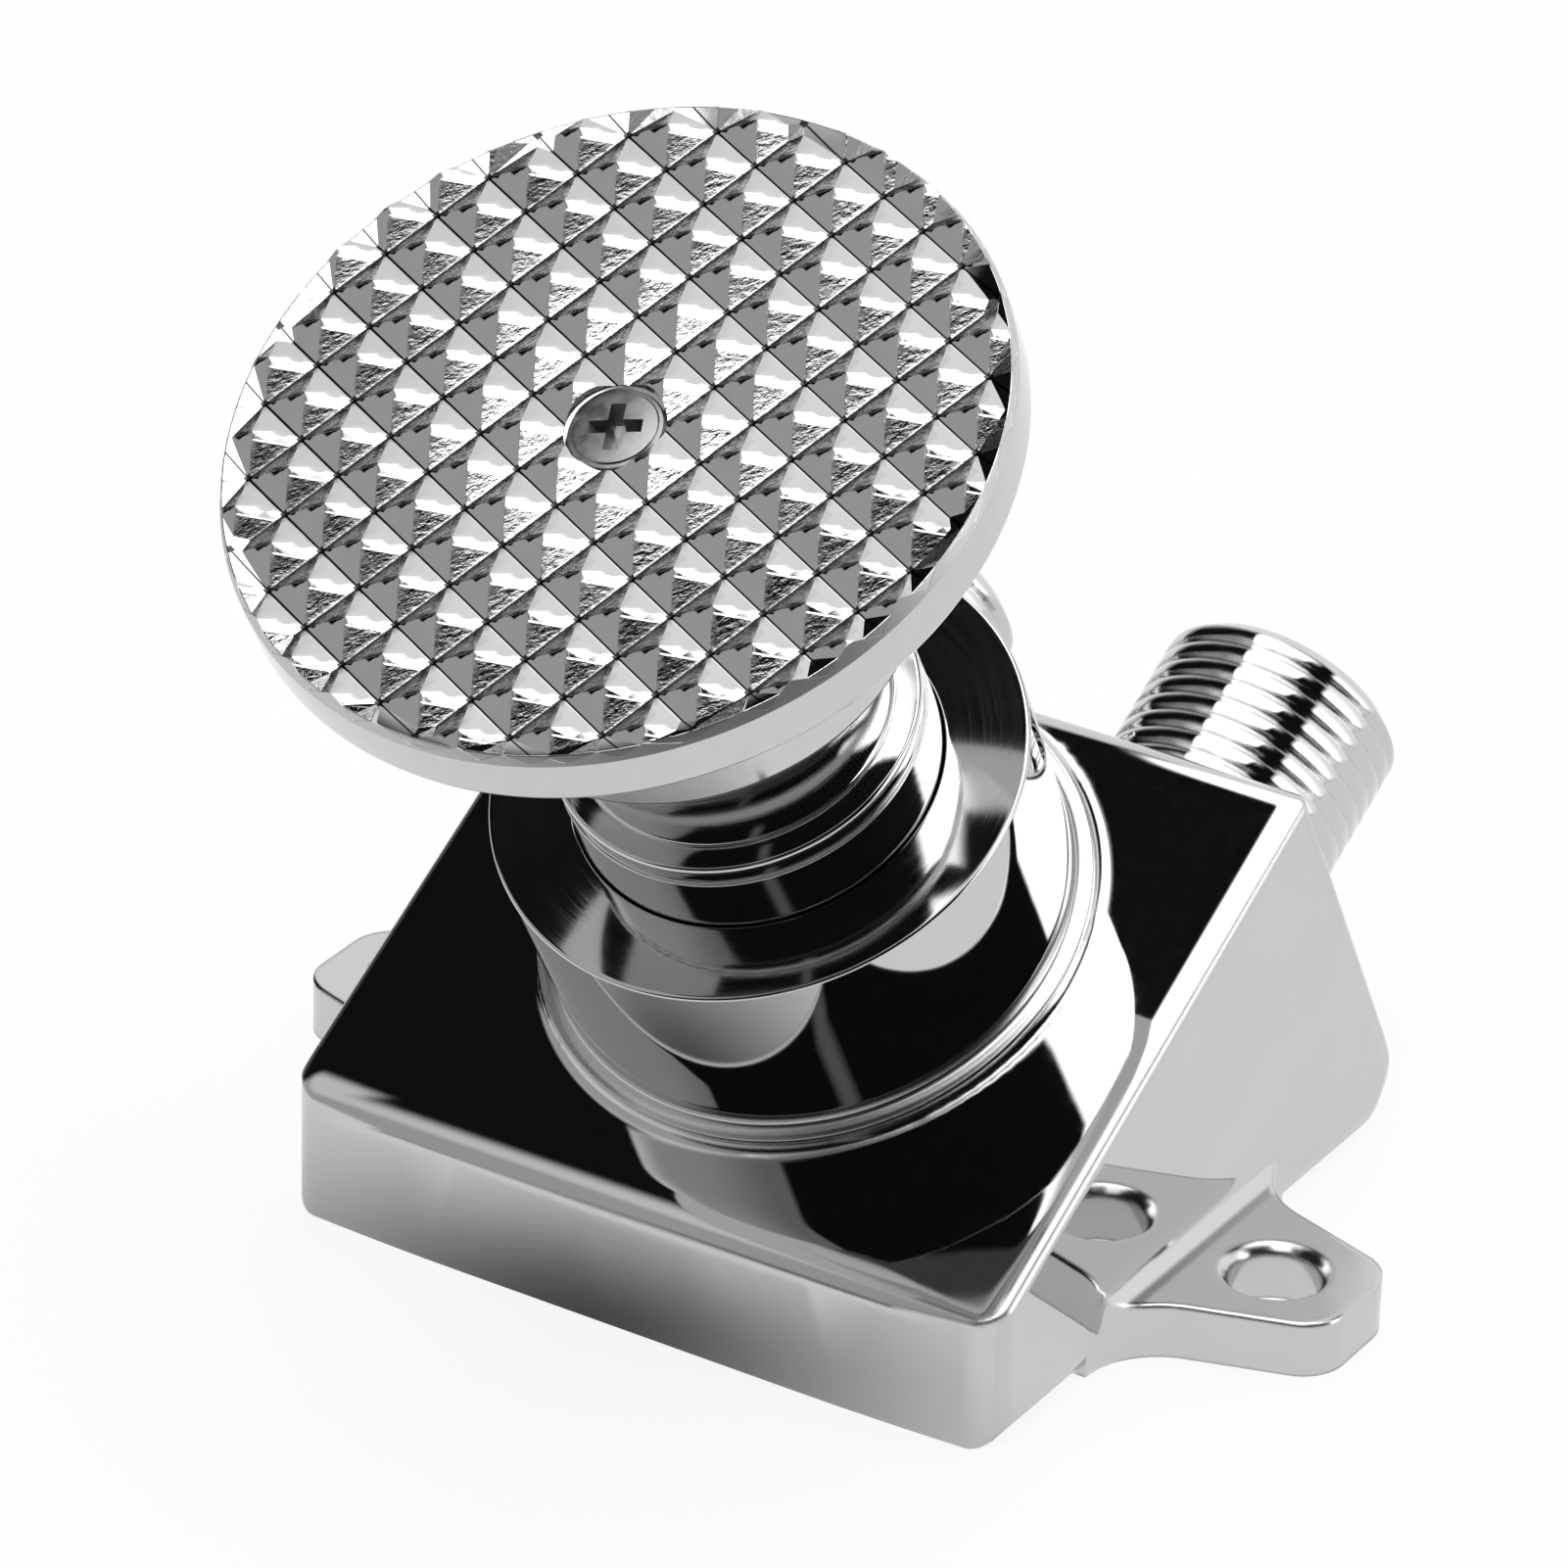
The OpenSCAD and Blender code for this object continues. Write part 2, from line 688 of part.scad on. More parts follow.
module gland() {
    groove_r = gland_r - 2 * o_ring_r - seal_gap;
    middle = gland_z + gland_t / 2;
    color("goldenrod") on_stem() difference() {
        turned([
            [0, gland_z - gland_nose], [gland_hub_r, gland_z - gland_nose], [gland_hub_r, gland_z],
            [gland_r, gland_z], [gland_r, middle - o_ring_groove / 2], [groove_r, middle - o_ring_groove / 2],
            [groove_r, middle + o_ring_groove / 2], [gland_r, middle + o_ring_groove / 2],
            [gland_r, gland_top], [gland_hub_r, gland_top], [gland_hub_r, gland_hub_top], [0, gland_hub_top]
        ]);
        translate([0, 0, gland_z - gland_nose - past])
            cylinder(d = spindle_d + 2 * run_fit, h = gland_hub_top - gland_z + gland_nose + 2 * past);
        for (z = rod_seal_z)
            translate([0, 0, z - o_ring_groove / 2])
                cylinder(r = rod_seal_r + o_ring_r + seat_fit, h = o_ring_groove);
    }
}

module gland_o_ring() {
    color("black") on_stem() o_ring(gland_r - o_ring_r, o_ring_r, gland_z + gland_t / 2);
}

module spindle_o_rings() {
    color("black") on_stem() for (z = rod_seal_z) o_ring(rod_seal_r, o_ring_r, z);
}

module spindle() {
    tap_r = spindle_tap_d / 2 - seat_fit;
    clip_top = head_z;
    color("goldenrod") on_stem() turned([
        [0, tail_z], [tail_d / 2, tail_z], [tail_d / 2, clip_top - clip_t], [clip_r, clip_top - clip_t],
        [clip_r, clip_top], [tail_d / 2, clip_top], [tail_d / 2, seat_face_z], [waist_d / 2, seat_face_z],
        [waist_d / 2, rod_z - rod_shoulder], [spindle_d / 2, rod_z], [spindle_d / 2, roof_z],
        [tap_r, roof_z], [tap_r, roof_z + spindle_grip], [0, roof_z + spindle_grip]
    ]);
}

module valve_seat() {
    slot_w = 1.6;
    slot_h = 1;
    color("goldenrod") on_stem() difference() {
        turned([
            [seat_bore_d / 2, seat_face_z], [well_d / 2 - thread_fit, seat_face_z],
            [well_d / 2 - thread_fit, seat_z], [seat_flange_r, seat_z],
            [seat_flange_r, seat_z + seat_t], [seat_bore_d / 2, seat_z + seat_t]
        ]);
        translate([-chamber_d / 2, -slot_w / 2, seat_z + seat_t - slot_h])
            cube([chamber_d, slot_w, slot_h + past]);
    }
}

module seat_gasket() {
    color("dimgray") on_stem() ring(well_d / 2, seat_flange_r, -ledge_depth, seat_gasket_t);
}

module valve_washer() {
    color("black") on_stem() ring(tail_d / 2 + seat_fit, head_d / 2, seat_face_z - washer_t, washer_t);
}

module valve_head() {
    color("goldenrod") on_stem() ring(tail_d / 2 + seat_fit, head_d / 2, head_z, head_t);
}

module valve_clip() {
    mouth = 2 * clip_r;
    color("silver") on_stem() difference() {
        ring(clip_r + seat_fit, tail_d / 2 + clip_w, head_z - clip_t + seat_fit, clip_t - 2 * seat_fit);
        translate([0, -mouth / 2, head_z - clip_t - past]) cube([tail_d + past, mouth, clip_t + 2 * past]);
    }
}

valve_body();
bonnet();
bonnet_gasket();
wiper_seal();
guide_ring();
plunger();
plunger_o_ring();
pedal_plate();
pedal_screw();
return_spring();
spring_washer();
gland();
gland_o_ring();
spindle_o_rings();
spindle();
valve_seat();
seat_gasket();
valve_washer();
valve_head();
valve_clip();
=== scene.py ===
"""Foot pedal tap valve: finer meshes for what shows, with finishes, light, floor and camera."""
import json
import math

import bmesh
import bpy
from mathutils import Matrix, Vector


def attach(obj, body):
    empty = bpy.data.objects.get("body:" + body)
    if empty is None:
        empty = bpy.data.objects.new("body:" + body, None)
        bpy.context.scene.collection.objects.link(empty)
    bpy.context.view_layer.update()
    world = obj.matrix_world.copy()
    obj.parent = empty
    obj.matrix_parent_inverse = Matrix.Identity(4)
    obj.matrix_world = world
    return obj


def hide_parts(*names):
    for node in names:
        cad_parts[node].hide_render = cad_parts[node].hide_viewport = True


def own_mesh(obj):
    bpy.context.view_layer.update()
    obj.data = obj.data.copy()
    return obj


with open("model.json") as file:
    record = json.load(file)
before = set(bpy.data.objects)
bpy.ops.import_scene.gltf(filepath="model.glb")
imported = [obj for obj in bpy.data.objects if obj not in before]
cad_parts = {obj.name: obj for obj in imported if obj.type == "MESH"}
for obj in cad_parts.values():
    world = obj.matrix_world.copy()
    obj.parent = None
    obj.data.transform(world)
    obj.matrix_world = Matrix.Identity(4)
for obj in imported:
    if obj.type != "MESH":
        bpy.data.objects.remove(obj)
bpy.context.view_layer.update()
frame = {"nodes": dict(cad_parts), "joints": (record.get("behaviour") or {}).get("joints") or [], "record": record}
scene = bpy.context.scene

# Lengths below are in millimetres and are turned into metres where a mesh is made
MM = 0.001

# Bonnet, over the slanted face
BONNET_R = 21.9
BONNET_TOP = 19.4
BONNET_WALL_R = 21.55
BONNET_FOOT_R = 22.9
BONNET_FOOT_Z = 1.0
BONNET_FOOT_H = 0.2
FOOT_SWEEP_H = 0.55
SPIGOT_R = 17.5
GLAND_Z = -4.5
GLAND_TOP = -1.0
GLAND_R = 15.42
BORE_R = 15.25
MOUTH_R = 15.1
WIPER_R = 17.05
WIPER_Z = 13.4
WIPER_H = 3.0
BUSH_R = 16.57
BUSH_Z = 3.0
BUSH_H = 8.0

# Plunger
PISTON_R = 14.95
PISTON_Z = 7.5
O_RING_Z = 8.5
O_RING_GROOVE = 1.9
O_RING_R = 13.45
STEP_Z = 26.9
NECK_R = 12.6
NECK_TOP = 40.4
POCKET_R = 10.5
ROOF_Z = 21.0

# Pedal plate
PLATE_R = 30.8
PLATE_Z = 58.6
VALLEY_Z = 63.1
TREAD_H = 1.25
TREAD_PITCH = 5.0
TREAD_TURN = math.radians(-24)
BEVEL_DROP = 0.3
BORDER_LEAN = 0.36
BORDER_W = 2.2
BORDER_H = 0.65
BOSS_R = 18.3
SCREW_HEAD_R = 3.7
SCREW_HEAD_Z = 62.9
SCREW_R = 2.0
SCREW_TIP = 32.4
SCREW_DOME = 0.5

# Roll of the casting's slanted face along its front edge
FACE_FRONT = 30.9
HALF_WIDTH = 33.3
ROLL_W = 3.3
ROLL_SPREAD = 1.3
ROLL_STEEP = 0.16
ROLL_DEPTH = 2.0

# Ports
FACE_REAR = 24.3
PORT_REACH = 42.0
PORT_NECK_R = 9.3
PORT_NECK_L = 2.0
THREAD_PITCH = 1.814
PASSAGE_R = 5.0

# Return spring
WIRE_R = 0.8
COIL_R = 8.3
COIL_TURNS = 6.5
COIL_LOW = -0.2
COIL_HIGH = 20.95

record = frame["record"]
joints = {j["name"]: j for j in frame["joints"]}
mounts = {m["name"]: m for m in record["mounts"]}


def frame_at(x_axis, z_axis, origin):
    """Matrix of a frame with these axes, whose third one follows from the two."""
    y_axis = z_axis.cross(x_axis)
    columns = [x_axis, y_axis, z_axis]
    turn = Matrix([[c[i] for c in columns] for i in range(3)]).to_4x4()
    return Matrix.Translation(origin) @ turn


# The stem's frame: X along the casting's width, Y up the slope, Z out along the stem
stem_axis = Vector(joints["pedal_spin"]["axis"]).normalized()
slope_axis = Vector(mounts["inlet_port"]["axis"]).normalized()
width_axis = slope_axis.cross(stem_axis)
face_point = Vector(joints["pedal_spin"]["pos_m"])
STEM = frame_at(width_axis, stem_axis, face_point)


# Node graphs


class Graph:
    """A node tree that is filled by calls, with sockets or plain values as inputs."""

    def __init__(self, tree):
        self.tree = tree
        tree.nodes.clear()

    def add(self, kind, inputs=None, **settings):
        node = self.tree.nodes.new(kind)
        for name, value in settings.items():
            setattr(node, name, value)
        for key, value in (inputs or {}).items():
            if isinstance(value, bpy.types.NodeSocket):
                self.tree.links.new(value, node.inputs[key])
            else:
                node.inputs[key].default_value = value
        return node

    def math(self, operation, a, b=0.0, c=0.0):
        return self.add("ShaderNodeMath", {0: a, 1: b, 2: c}, operation=operation).outputs[0]

    def vector(self, operation, a, b=(0, 0, 0)):
        node = self.add("ShaderNodeVectorMath", {0: a, 1: b}, operation=operation)
        return node.outputs["Value" if operation in ("DOT_PRODUCT", "LENGTH") else "Vector"]

    def split(self, vector):
        """The X, Y and Z parts of a vector."""
        node = self.add("ShaderNodeSeparateXYZ", {"Vector": vector})
        return [node.outputs[axis] for axis in "XYZ"]

    def from_axis(self, where):
        """Distance of a place from the Z axis."""
        return self.vector("LENGTH", self.vector("MULTIPLY", where, (1, 1, 0)))

    def step(self, value, low, high, to_low=0.0, to_high=1.0):
        """Smooth step of a value between two levels."""
        node = self.add(
            "ShaderNodeMapRange",
            {"Value": value, "From Min": low, "From Max": high, "To Min": to_low, "To Max": to_high},
            interpolation_type="SMOOTHSTEP",
        )
        return node.outputs["Result"]

    def local(self, scale=(1, 1, 1), turn=0.0):
        """The piece's own coordinates in millimetres, turned about its Z and scaled."""
        place = self.add("ShaderNodeTexCoord").outputs["Object"]
        turned = self.add("ShaderNodeMapping", {"Vector": place, "Rotation": (0, 0, turn)})
        return self.vector("MULTIPLY", turned.outputs["Vector"], [s / MM for s in scale])

    def noise(self, where, scale, detail=2.0, rough=0.5):
        node = self.add(
            "ShaderNodeTexNoise",
            {"Vector": where, "Scale": scale, "Detail": detail, "Roughness": rough},
        )
        return node.outputs["Fac"]

    def ramp(self, value, stops):
        """Greys or colours along a value, as (position, colour) stops."""
        node = self.add("ShaderNodeValToRGB", {"Fac": value})
        marks = node.color_ramp.elements
        while len(marks) < len(stops):
            marks.new(0.5)
        for mark, (position, colour) in zip(marks, stops):
            mark.position = position
            mark.color = (*colour, 1)
        return node.outputs["Color"]

    def bump(self, height, depth, normal=None):
        """Normal of a height of 0 to 1 that stands for this depth in millimetres."""
        inputs = {"Height": height, "Distance": depth * MM, "Strength": 1.0}
        if normal is not None:
            inputs["Normal"] = normal
        return self.add("ShaderNodeBump", inputs).outputs["Normal"]


def grey(level):
    return (level, level, level)


def new_material(name):
    material = bpy.data.materials.new(name)
    material.use_nodes = True
    return material, Graph(material.node_tree)


def finish_metal(graph, colour, roughness, normal):
    """Ends a metal's graph."""
    shader = graph.add("ShaderNodeBsdfPrincipled", {
        "Base Color": colour, "Metallic": 1.0, "Roughness": roughness, "Normal": normal,
    })
    graph.add("ShaderNodeOutputMaterial", {"Surface": shader.outputs["BSDF"]})


# Greys of the chrome plate, and the width over which the casting's edges shade softly
CHROME_LOW = 0.575
CHROME_HIGH = 0.595
EDGE_SOFT = 0.8

# Roughness of the bonnet's polished wall, and what the duller places add to their own
WALL_ROUGH = 0.03
EAR_DULL = 0.14
EDGE_DULL = 0.3
FOOT_DULL = 0.2
SLOPE_DULL = 0.2
BORDER_DULL = 0.35

# Tool marks on turned metal: how the outline is run along, and how fine and how long the marks are
RADIUS_SHARE = 1.37
MARKS_FINE = 7.0
MARKS_LONG = 2.2

# Marks of the tread: turn of the streaks from the rows, width of the bright strips and grey of the painted shade
# in the valleys
STREAK_TURN = math.radians(14)
STRIP_W = 0.75
STRIP_W_SPREAD = 0.35
STRIP_BLUR = 0.12
RIDGE_BLUR = 0.02
VALLEY_SHADE_GREY = 0.05

# How far the tread's slopes lean from their true direction, all in shares of the normal
STRIP_LEAN = 0.1
WAVE_LEAN = 0.16
CHANCE_LEAN = 0.03
INNER_LEAN = -0.05
OUTER_LEAN = -0.2
# Distances from the screw between which that lean goes from the inner to the outer one
LEAN_REACH = (5, 20)


def chrome_colour(graph, where, scale=0.08):
    return graph.ramp(graph.noise(where, scale), [(0.3, grey(CHROME_LOW)), (0.7, grey(CHROME_HIGH))])


def casting_chrome():
    """Polished plate over a casting: mirror bright, barely wavy, duller on its ears and side edges."""
    material, graph = new_material("chrome_casting")
    where = graph.local()
    normal = graph.add("ShaderNodeBevel", {"Radius": EDGE_SOFT * MM}, samples=8).outputs["Normal"]
    normal = graph.bump(graph.noise(where, scale=0.09, detail=1.0), depth=0.012, normal=normal)
    normal = graph.bump(graph.noise(where, scale=0.6, detail=1.0), depth=0.0002, normal=normal)
    lines = graph.noise(graph.local((0.6, 6.0, 6.0)), scale=1.0, detail=3.0)
    normal = graph.bump(lines, depth=0.0002, normal=normal)
    roughness = graph.step(graph.noise(where, scale=0.9, detail=4.0), 0.35, 0.75, 0.02, 0.045)
    aside = graph.math("ABSOLUTE", graph.split(where)[0])
    on_ear = graph.step(aside, HALF_WIDTH + 0.5, HALF_WIDTH + 1.5)
    roughness = graph.math("MULTIPLY_ADD", on_ear, EAR_DULL, roughness)
    past_face = graph.step(aside, HALF_WIDTH - 0.9, HALF_WIDTH - 0.6)
    before_side = graph.step(aside, HALF_WIDTH - 0.12, HALF_WIDTH - 0.03, 1.0, 0.0)
    on_edge = graph.math("MULTIPLY", past_face, before_side)
    roughness = graph.math("MULTIPLY_ADD", on_edge, EDGE_DULL, roughness)
    finish_metal(graph, chrome_colour(graph, where), roughness, normal)
    return material


def turned_chrome():
    """Plate over turned metal: streaks of tool marks, which are polished away on the bonnet's wall."""
    material, graph = new_material("chrome_turned")
    where = graph.local()
    x, y, z = graph.split(where)
    radius = graph.from_axis(where)
    along = graph.math("MULTIPLY_ADD", radius, RADIUS_SHARE, z)
    around = graph.math("ARCTAN2", y, x)
    top = graph.step(z, BONNET_TOP - 0.2, BONNET_TOP - 0.1)
    foot = graph.step(z, BONNET_FOOT_Z + 0.9, BONNET_FOOT_Z + 1.6, 1.0, 0.0)
    marked = graph.math("MAXIMUM", top, foot)
    place = graph.add("ShaderNodeCombineXYZ", {
        "X": graph.math("MULTIPLY", along, MARKS_FINE), "Y": graph.math("MULTIPLY", around, MARKS_LONG),
    })
    marks = graph.noise(place.outputs["Vector"], scale=1.0, detail=3.0)
    stem = graph.step(radius, MOUTH_R - 0.1, MOUTH_R + 0.1, 1.0, 0.35)
    height = graph.math("MULTIPLY", marks, graph.math("MULTIPLY", marked, stem))
    normal = graph.bump(height, depth=0.003)
    normal = graph.bump(graph.noise(where, scale=0.2, detail=1.0), depth=0.004, normal=normal)
    worn = graph.math("MULTIPLY_ADD", foot, FOOT_DULL, graph.step(marks, 0.3, 0.7, 0.04, 0.09))
    worn = graph.math("SUBTRACT", worn, WALL_ROUGH)
    roughness = graph.math("MULTIPLY_ADD", worn, marked, WALL_ROUGH)
    finish_metal(graph, chrome_colour(graph, where), roughness, normal)
    return material


def tread_chrome():
    """Plate over the cast tread: each pyramid has a bright flat strip, streaked slopes and painted shade in its
    valleys.
    """
    material, graph = new_material("chrome_tread")
    rows = graph.local(turn=-TREAD_TURN)
    x, y, z = graph.split(rows)
    half = TREAD_PITCH / 2
    across, back = (graph.math("WRAP", v, half, -half) for v in (x, y))
    from_ridge = graph.math("SUBTRACT", graph.math("ABSOLUTE", across), graph.math("ABSOLUTE", back))
    from_screw = graph.from_axis(rows)

    # The leaning border round the tread, which has neither streaks nor valleys
    over = graph.math("SUBTRACT", z, VALLEY_Z - BEVEL_DROP)
    out = graph.math("MULTIPLY_ADD", over, BORDER_LEAN, from_screw)
    border = graph.step(out, PLATE_R - 0.12, PLATE_R - 0.06)
    border = graph.math("MULTIPLY", border, graph.step(over, -0.05, 0.05))
    on_top = graph.step(z, VALLEY_Z - 0.1, VALLEY_Z)
    on_top = graph.math("MULTIPLY", on_top, graph.math("SUBTRACT", 1.0, border))

    # The slopes to the left and right in the rows, with a bright strip on each right one
    sloped = graph.math("MULTIPLY", graph.step(from_ridge, -RIDGE_BLUR, RIDGE_BLUR), on_top)
    right = graph.math("MULTIPLY", sloped, graph.step(across, -RIDGE_BLUR, RIDGE_BLUR))
    shifted = graph.vector("ADD", rows, (half,) * 3)
    cell = graph.vector("FLOOR", graph.vector("DIVIDE", shifted, (TREAD_PITCH,) * 3))
    cell = graph.vector("MULTIPLY", cell, (1, 1, 0))
    chance = graph.add("ShaderNodeTexWhiteNoise", {"Vector": cell}, noise_dimensions="3D").outputs["Value"]
    strip_w = graph.math("MULTIPLY_ADD", chance, STRIP_W_SPREAD, STRIP_W)
    from_strip = graph.math("SUBTRACT", graph.math("SUBTRACT", across, back), strip_w)
    strip = graph.step(from_strip, -STRIP_BLUR, STRIP_BLUR, 1.0, 0.0)
    strip = graph.math("MULTIPLY", strip, right)
    rough = graph.math("SUBTRACT", sloped, strip)
    streaks = graph.noise(
        graph.local((2.6, 1.3, 2.6), -TREAD_TURN + STREAK_TURN), scale=1.0, detail=3.0, rough=0.6
    )
    normal = graph.bump(graph.math("MULTIPLY", streaks, rough), depth=0.055)
    normal = graph.bump(graph.noise(rows, scale=7.0, detail=3.0), depth=0.0012, normal=normal)
    normal = graph.bump(graph.noise(rows, scale=0.45, detail=1.0), depth=0.008, normal=normal)

    def lean(normal, amount):
        """Normal leant by an amount along the rows."""
        way = graph.add(
            "ShaderNodeVectorTransform", {"Vector": Matrix.Rotation(TREAD_TURN, 3, "Z") @ Vector((0, 1, 0))},
            vector_type="VECTOR", convert_from="OBJECT", convert_to="WORLD",
        ).outputs["Vector"]
        aside = graph.add("ShaderNodeVectorMath", {0: way, 3: amount}, operation="SCALE").outputs["Vector"]
        return graph.vector("NORMALIZE", graph.vector("ADD", normal, aside))

    normal = lean(normal, graph.math("MULTIPLY", strip, STRIP_LEAN))
    wave = graph.noise(rows, scale=0.07, detail=1.0)
    uneven = graph.math("MULTIPLY_ADD", wave, WAVE_LEAN, -WAVE_LEAN / 2)
    uneven = graph.math("ADD", uneven, graph.math("MULTIPLY_ADD", chance, CHANCE_LEAN, -CHANCE_LEAN / 2))
    uneven = graph.math("ADD", uneven, graph.step(from_screw, *LEAN_REACH, INNER_LEAN, OUTER_LEAN))
    normal = lean(normal, graph.math("MULTIPLY", uneven, right))

    # Painted shade: the plate's colour is darkened along the valleys, widest where two of them cross
    valley = graph.step(graph.math("ABSOLUTE", back), half - 0.12, half - 0.04)
    crossing_shade = [graph.step(graph.math("ABSOLUTE", v), half - 0.36, half - 0.24) for v in (across, back)]
    valley = graph.math("MAXIMUM", valley, graph.math("MULTIPLY", *crossing_shade))
    valley = graph.math("MULTIPLY", valley, on_top)
    plate = chrome_colour(graph, rows, scale=0.6)
    # The plate's colour mixed towards the grey of the painted shade in the valleys
    shaded = graph.add(
        "ShaderNodeMix", {"Factor": valley, "A": plate, "B": (*grey(VALLEY_SHADE_GREY), 1)}, data_type="RGBA"
    )
    left = graph.math("SUBTRACT", sloped, right)
    roughness = graph.math("MULTIPLY_ADD", left, SLOPE_DULL, 0.05)
    roughness = graph.math("MULTIPLY_ADD", border, BORDER_DULL, roughness)
    finish_metal(graph, shaded.outputs["Result"], roughness, normal)
    return material


def zinc():
    """Dull plated steel with fine turning marks and a slight mottle."""
    material, graph = new_material("zinc_screw")
    where = graph.local()
    mottle = graph.noise(where, 1.1, 4.0)
    colour = graph.ramp(mottle, [(0.3, grey(0.26)), (0.7, grey(0.34))])
    normal = graph.bump(graph.noise(where, 4.0, 3.0), 0.004)
    roughness = graph.step(mottle, 0.3, 0.7, 0.3, 0.4)
    finish_metal(graph, colour, roughness, normal)
    return material


def plain_metal(name, dark, light, rough):
    """Machined metal inside: fine marks and a little variation in colour and gloss."""
    material, graph = new_material(name)
    where = graph.local()
    mottle = graph.noise(where, 1.2, 3.0)
    normal = graph.bump(graph.noise(graph.local((1, 1, 6)), 2.0, 2.0), 0.003)
    roughness = graph.step(mottle, 0.3, 0.7, rough, rough + 0.12)
    finish_metal(graph, graph.ramp(mottle, [(0.3, dark), (0.7, light)]), roughness, normal)
    return material


def plain_dielectric(name, dark, light, rough, grain_depth):
    """Rubber, fibre or plastic: matt, with a fine grain."""
    material, graph = new_material(name)
    where = graph.local()
    mottle = graph.noise(where, 1.5, 4.0)
    shader = graph.add("ShaderNodeBsdfPrincipled", {
        "Base Color": graph.ramp(mottle, [(0.3, dark), (0.7, light)]),
        "Roughness": graph.step(mottle, 0.3, 0.7, rough, rough + 0.15),
        "Normal": graph.bump(graph.noise(where, 8.0, 3.0), grain_depth),
    })
    graph.add("ShaderNodeOutputMaterial", {"Surface": shader.outputs["BSDF"]})
    return material


FINISHES = {
    "chrome_casting": casting_chrome(),
    "chrome_turned": turned_chrome(),
    "chrome_tread": tread_chrome(),
    "zinc_screw": zinc(),
    "spring_steel": plain_metal("spring_steel", grey(0.36), grey(0.48), 0.25),
    "brass": plain_metal("brass", (0.52, 0.36, 0.14), (0.66, 0.48, 0.21), 0.18),
    "seal_rubber": plain_dielectric("seal_rubber", grey(0.012), grey(0.025), 0.5, 0.004),
    "gasket_fibre": plain_dielectric("gasket_fibre", (0.03, 0.028, 0.026), (0.07, 0.066, 0.06), 0.6, 0.01),
    "guide_plastic": plain_dielectric("guide_plastic", (0.66, 0.63, 0.56), (0.78, 0.75, 0.69), 0.4, 0.003),
}
SLOT_OF = {s["node"]: s["material_slot"] for s in record["subparts"]}


# Mesh making


def rounded(corners, steps=6):
    """Outline through corners [r, z, radius], where a radius above 0 turns the corner into an arc."""
    outline = []
    for i, (r, z, radius) in enumerate(corners):
        here = Vector((r, z))
        if radius == 0:
            outline.append(here)
            continue
        back = (Vector(corners[i - 1][:2]) - here).normalized()
        ahead = (Vector(corners[(i + 1) % len(corners)][:2]) - here).normalized()
        half = back.angle(ahead) / 2
        centre = here + (back + ahead).normalized() * radius / math.sin(half)
        start = here + back * radius / math.tan(half) - centre
        sweep = math.pi - 2 * half
        if back.cross(ahead) > 0:
            sweep = -sweep
        outline += [centre + Matrix.Rotation(sweep * k / steps, 2) @ start for k in range(steps + 1)]
    return outline


def lathe(outline, segments=192):
    """Solid of a closed outline [r, z] turned about Z."""
    bm = bmesh.new()
    rings = []
    for r, z in outline:
        count = 1 if r < 1e-6 else segments
        turns = [2 * math.pi * k / segments for k in range(count)]
        rings.append([bm.verts.new((r * math.cos(t), r * math.sin(t), z)) for t in turns])
    skin(bm, rings, segments)
    return bm


def skin(bm, rings, segments):
    """Faces between each ring of points and the next, the last one back to the first."""
    for low, high in zip(rings, rings[1:] + rings[:1]):
        for k in range(segments):
            n = k + 1
            corners = [low[k % len(low)], low[n % len(low)], high[n % len(high)], high[k % len(high)]]
            corners = list(dict.fromkeys(corners))
            if len(corners) > 2:
                bm.faces.new(corners)
    bmesh.ops.recalc_face_normals(bm, faces=bm.faces)


def shade(bm, sharp=math.radians(32)):
    """Smooth shading, with edges that turn more than the given angle kept sharp."""
    for face in bm.faces:
        face.smooth = True
    for edge in bm.edges:
        edge.smooth = edge.calc_face_angle(0) < sharp


def add_piece(name, bm, body, node, place=STEM, scale=MM):
    """Makes an object of the mesh, in its place, riding on a body with its node's finish."""
    shade(bm)
    bmesh.ops.scale(bm, vec=(scale,) * 3, verts=bm.verts)
    mesh = bpy.data.meshes.new(name)
    bm.to_mesh(mesh)
    bm.free()
    piece = bpy.data.objects.new(name, mesh)
    scene.collection.objects.link(piece)
    piece.matrix_world = place
    mesh.materials.append(FINISHES[SLOT_OF[node]])
    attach(piece, body)
    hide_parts(node)
    return piece


def combine(bm, tool, operation):
    """The first mesh cut by, or kept inside, the second."""
    pair = []
    for part in (bm, tool):
        mesh = bpy.data.meshes.new("part")
        part.to_mesh(mesh)
        part.free()
        pair.append(bpy.data.objects.new("part", mesh))
        scene.collection.objects.link(pair[-1])
    cut = pair[0].modifiers.new("cut", "BOOLEAN")
    cut.operation = operation
    cut.solver = "MANIFOLD"
    cut.object = pair[1]
    bpy.context.view_layer.update()
    made = pair[0].evaluated_get(bpy.context.evaluated_depsgraph_get())
    result = bmesh.new()
    result.from_mesh(made.to_mesh())
    for part in pair:
        mesh = part.data
        bpy.data.objects.remove(part)
        bpy.data.meshes.remove(mesh)
    bmesh.ops.remove_doubles(result, verts=result.verts, dist=1e-4)
    return result


# Pieces that show


def foot_sweep(low_z, start_r, steps=12):
    """Points of the hollow that runs from the top of the foot's edge up to the wall."""
    wide = start_r - BONNET_WALL_R
    turns = [math.pi / 2 * k / steps for k in range(1, steps + 1)]
    return [(start_r - wide * math.sin(t), low_z + FOOT_SWEEP_H * (1 - math.cos(t)), 0) for t in turns]


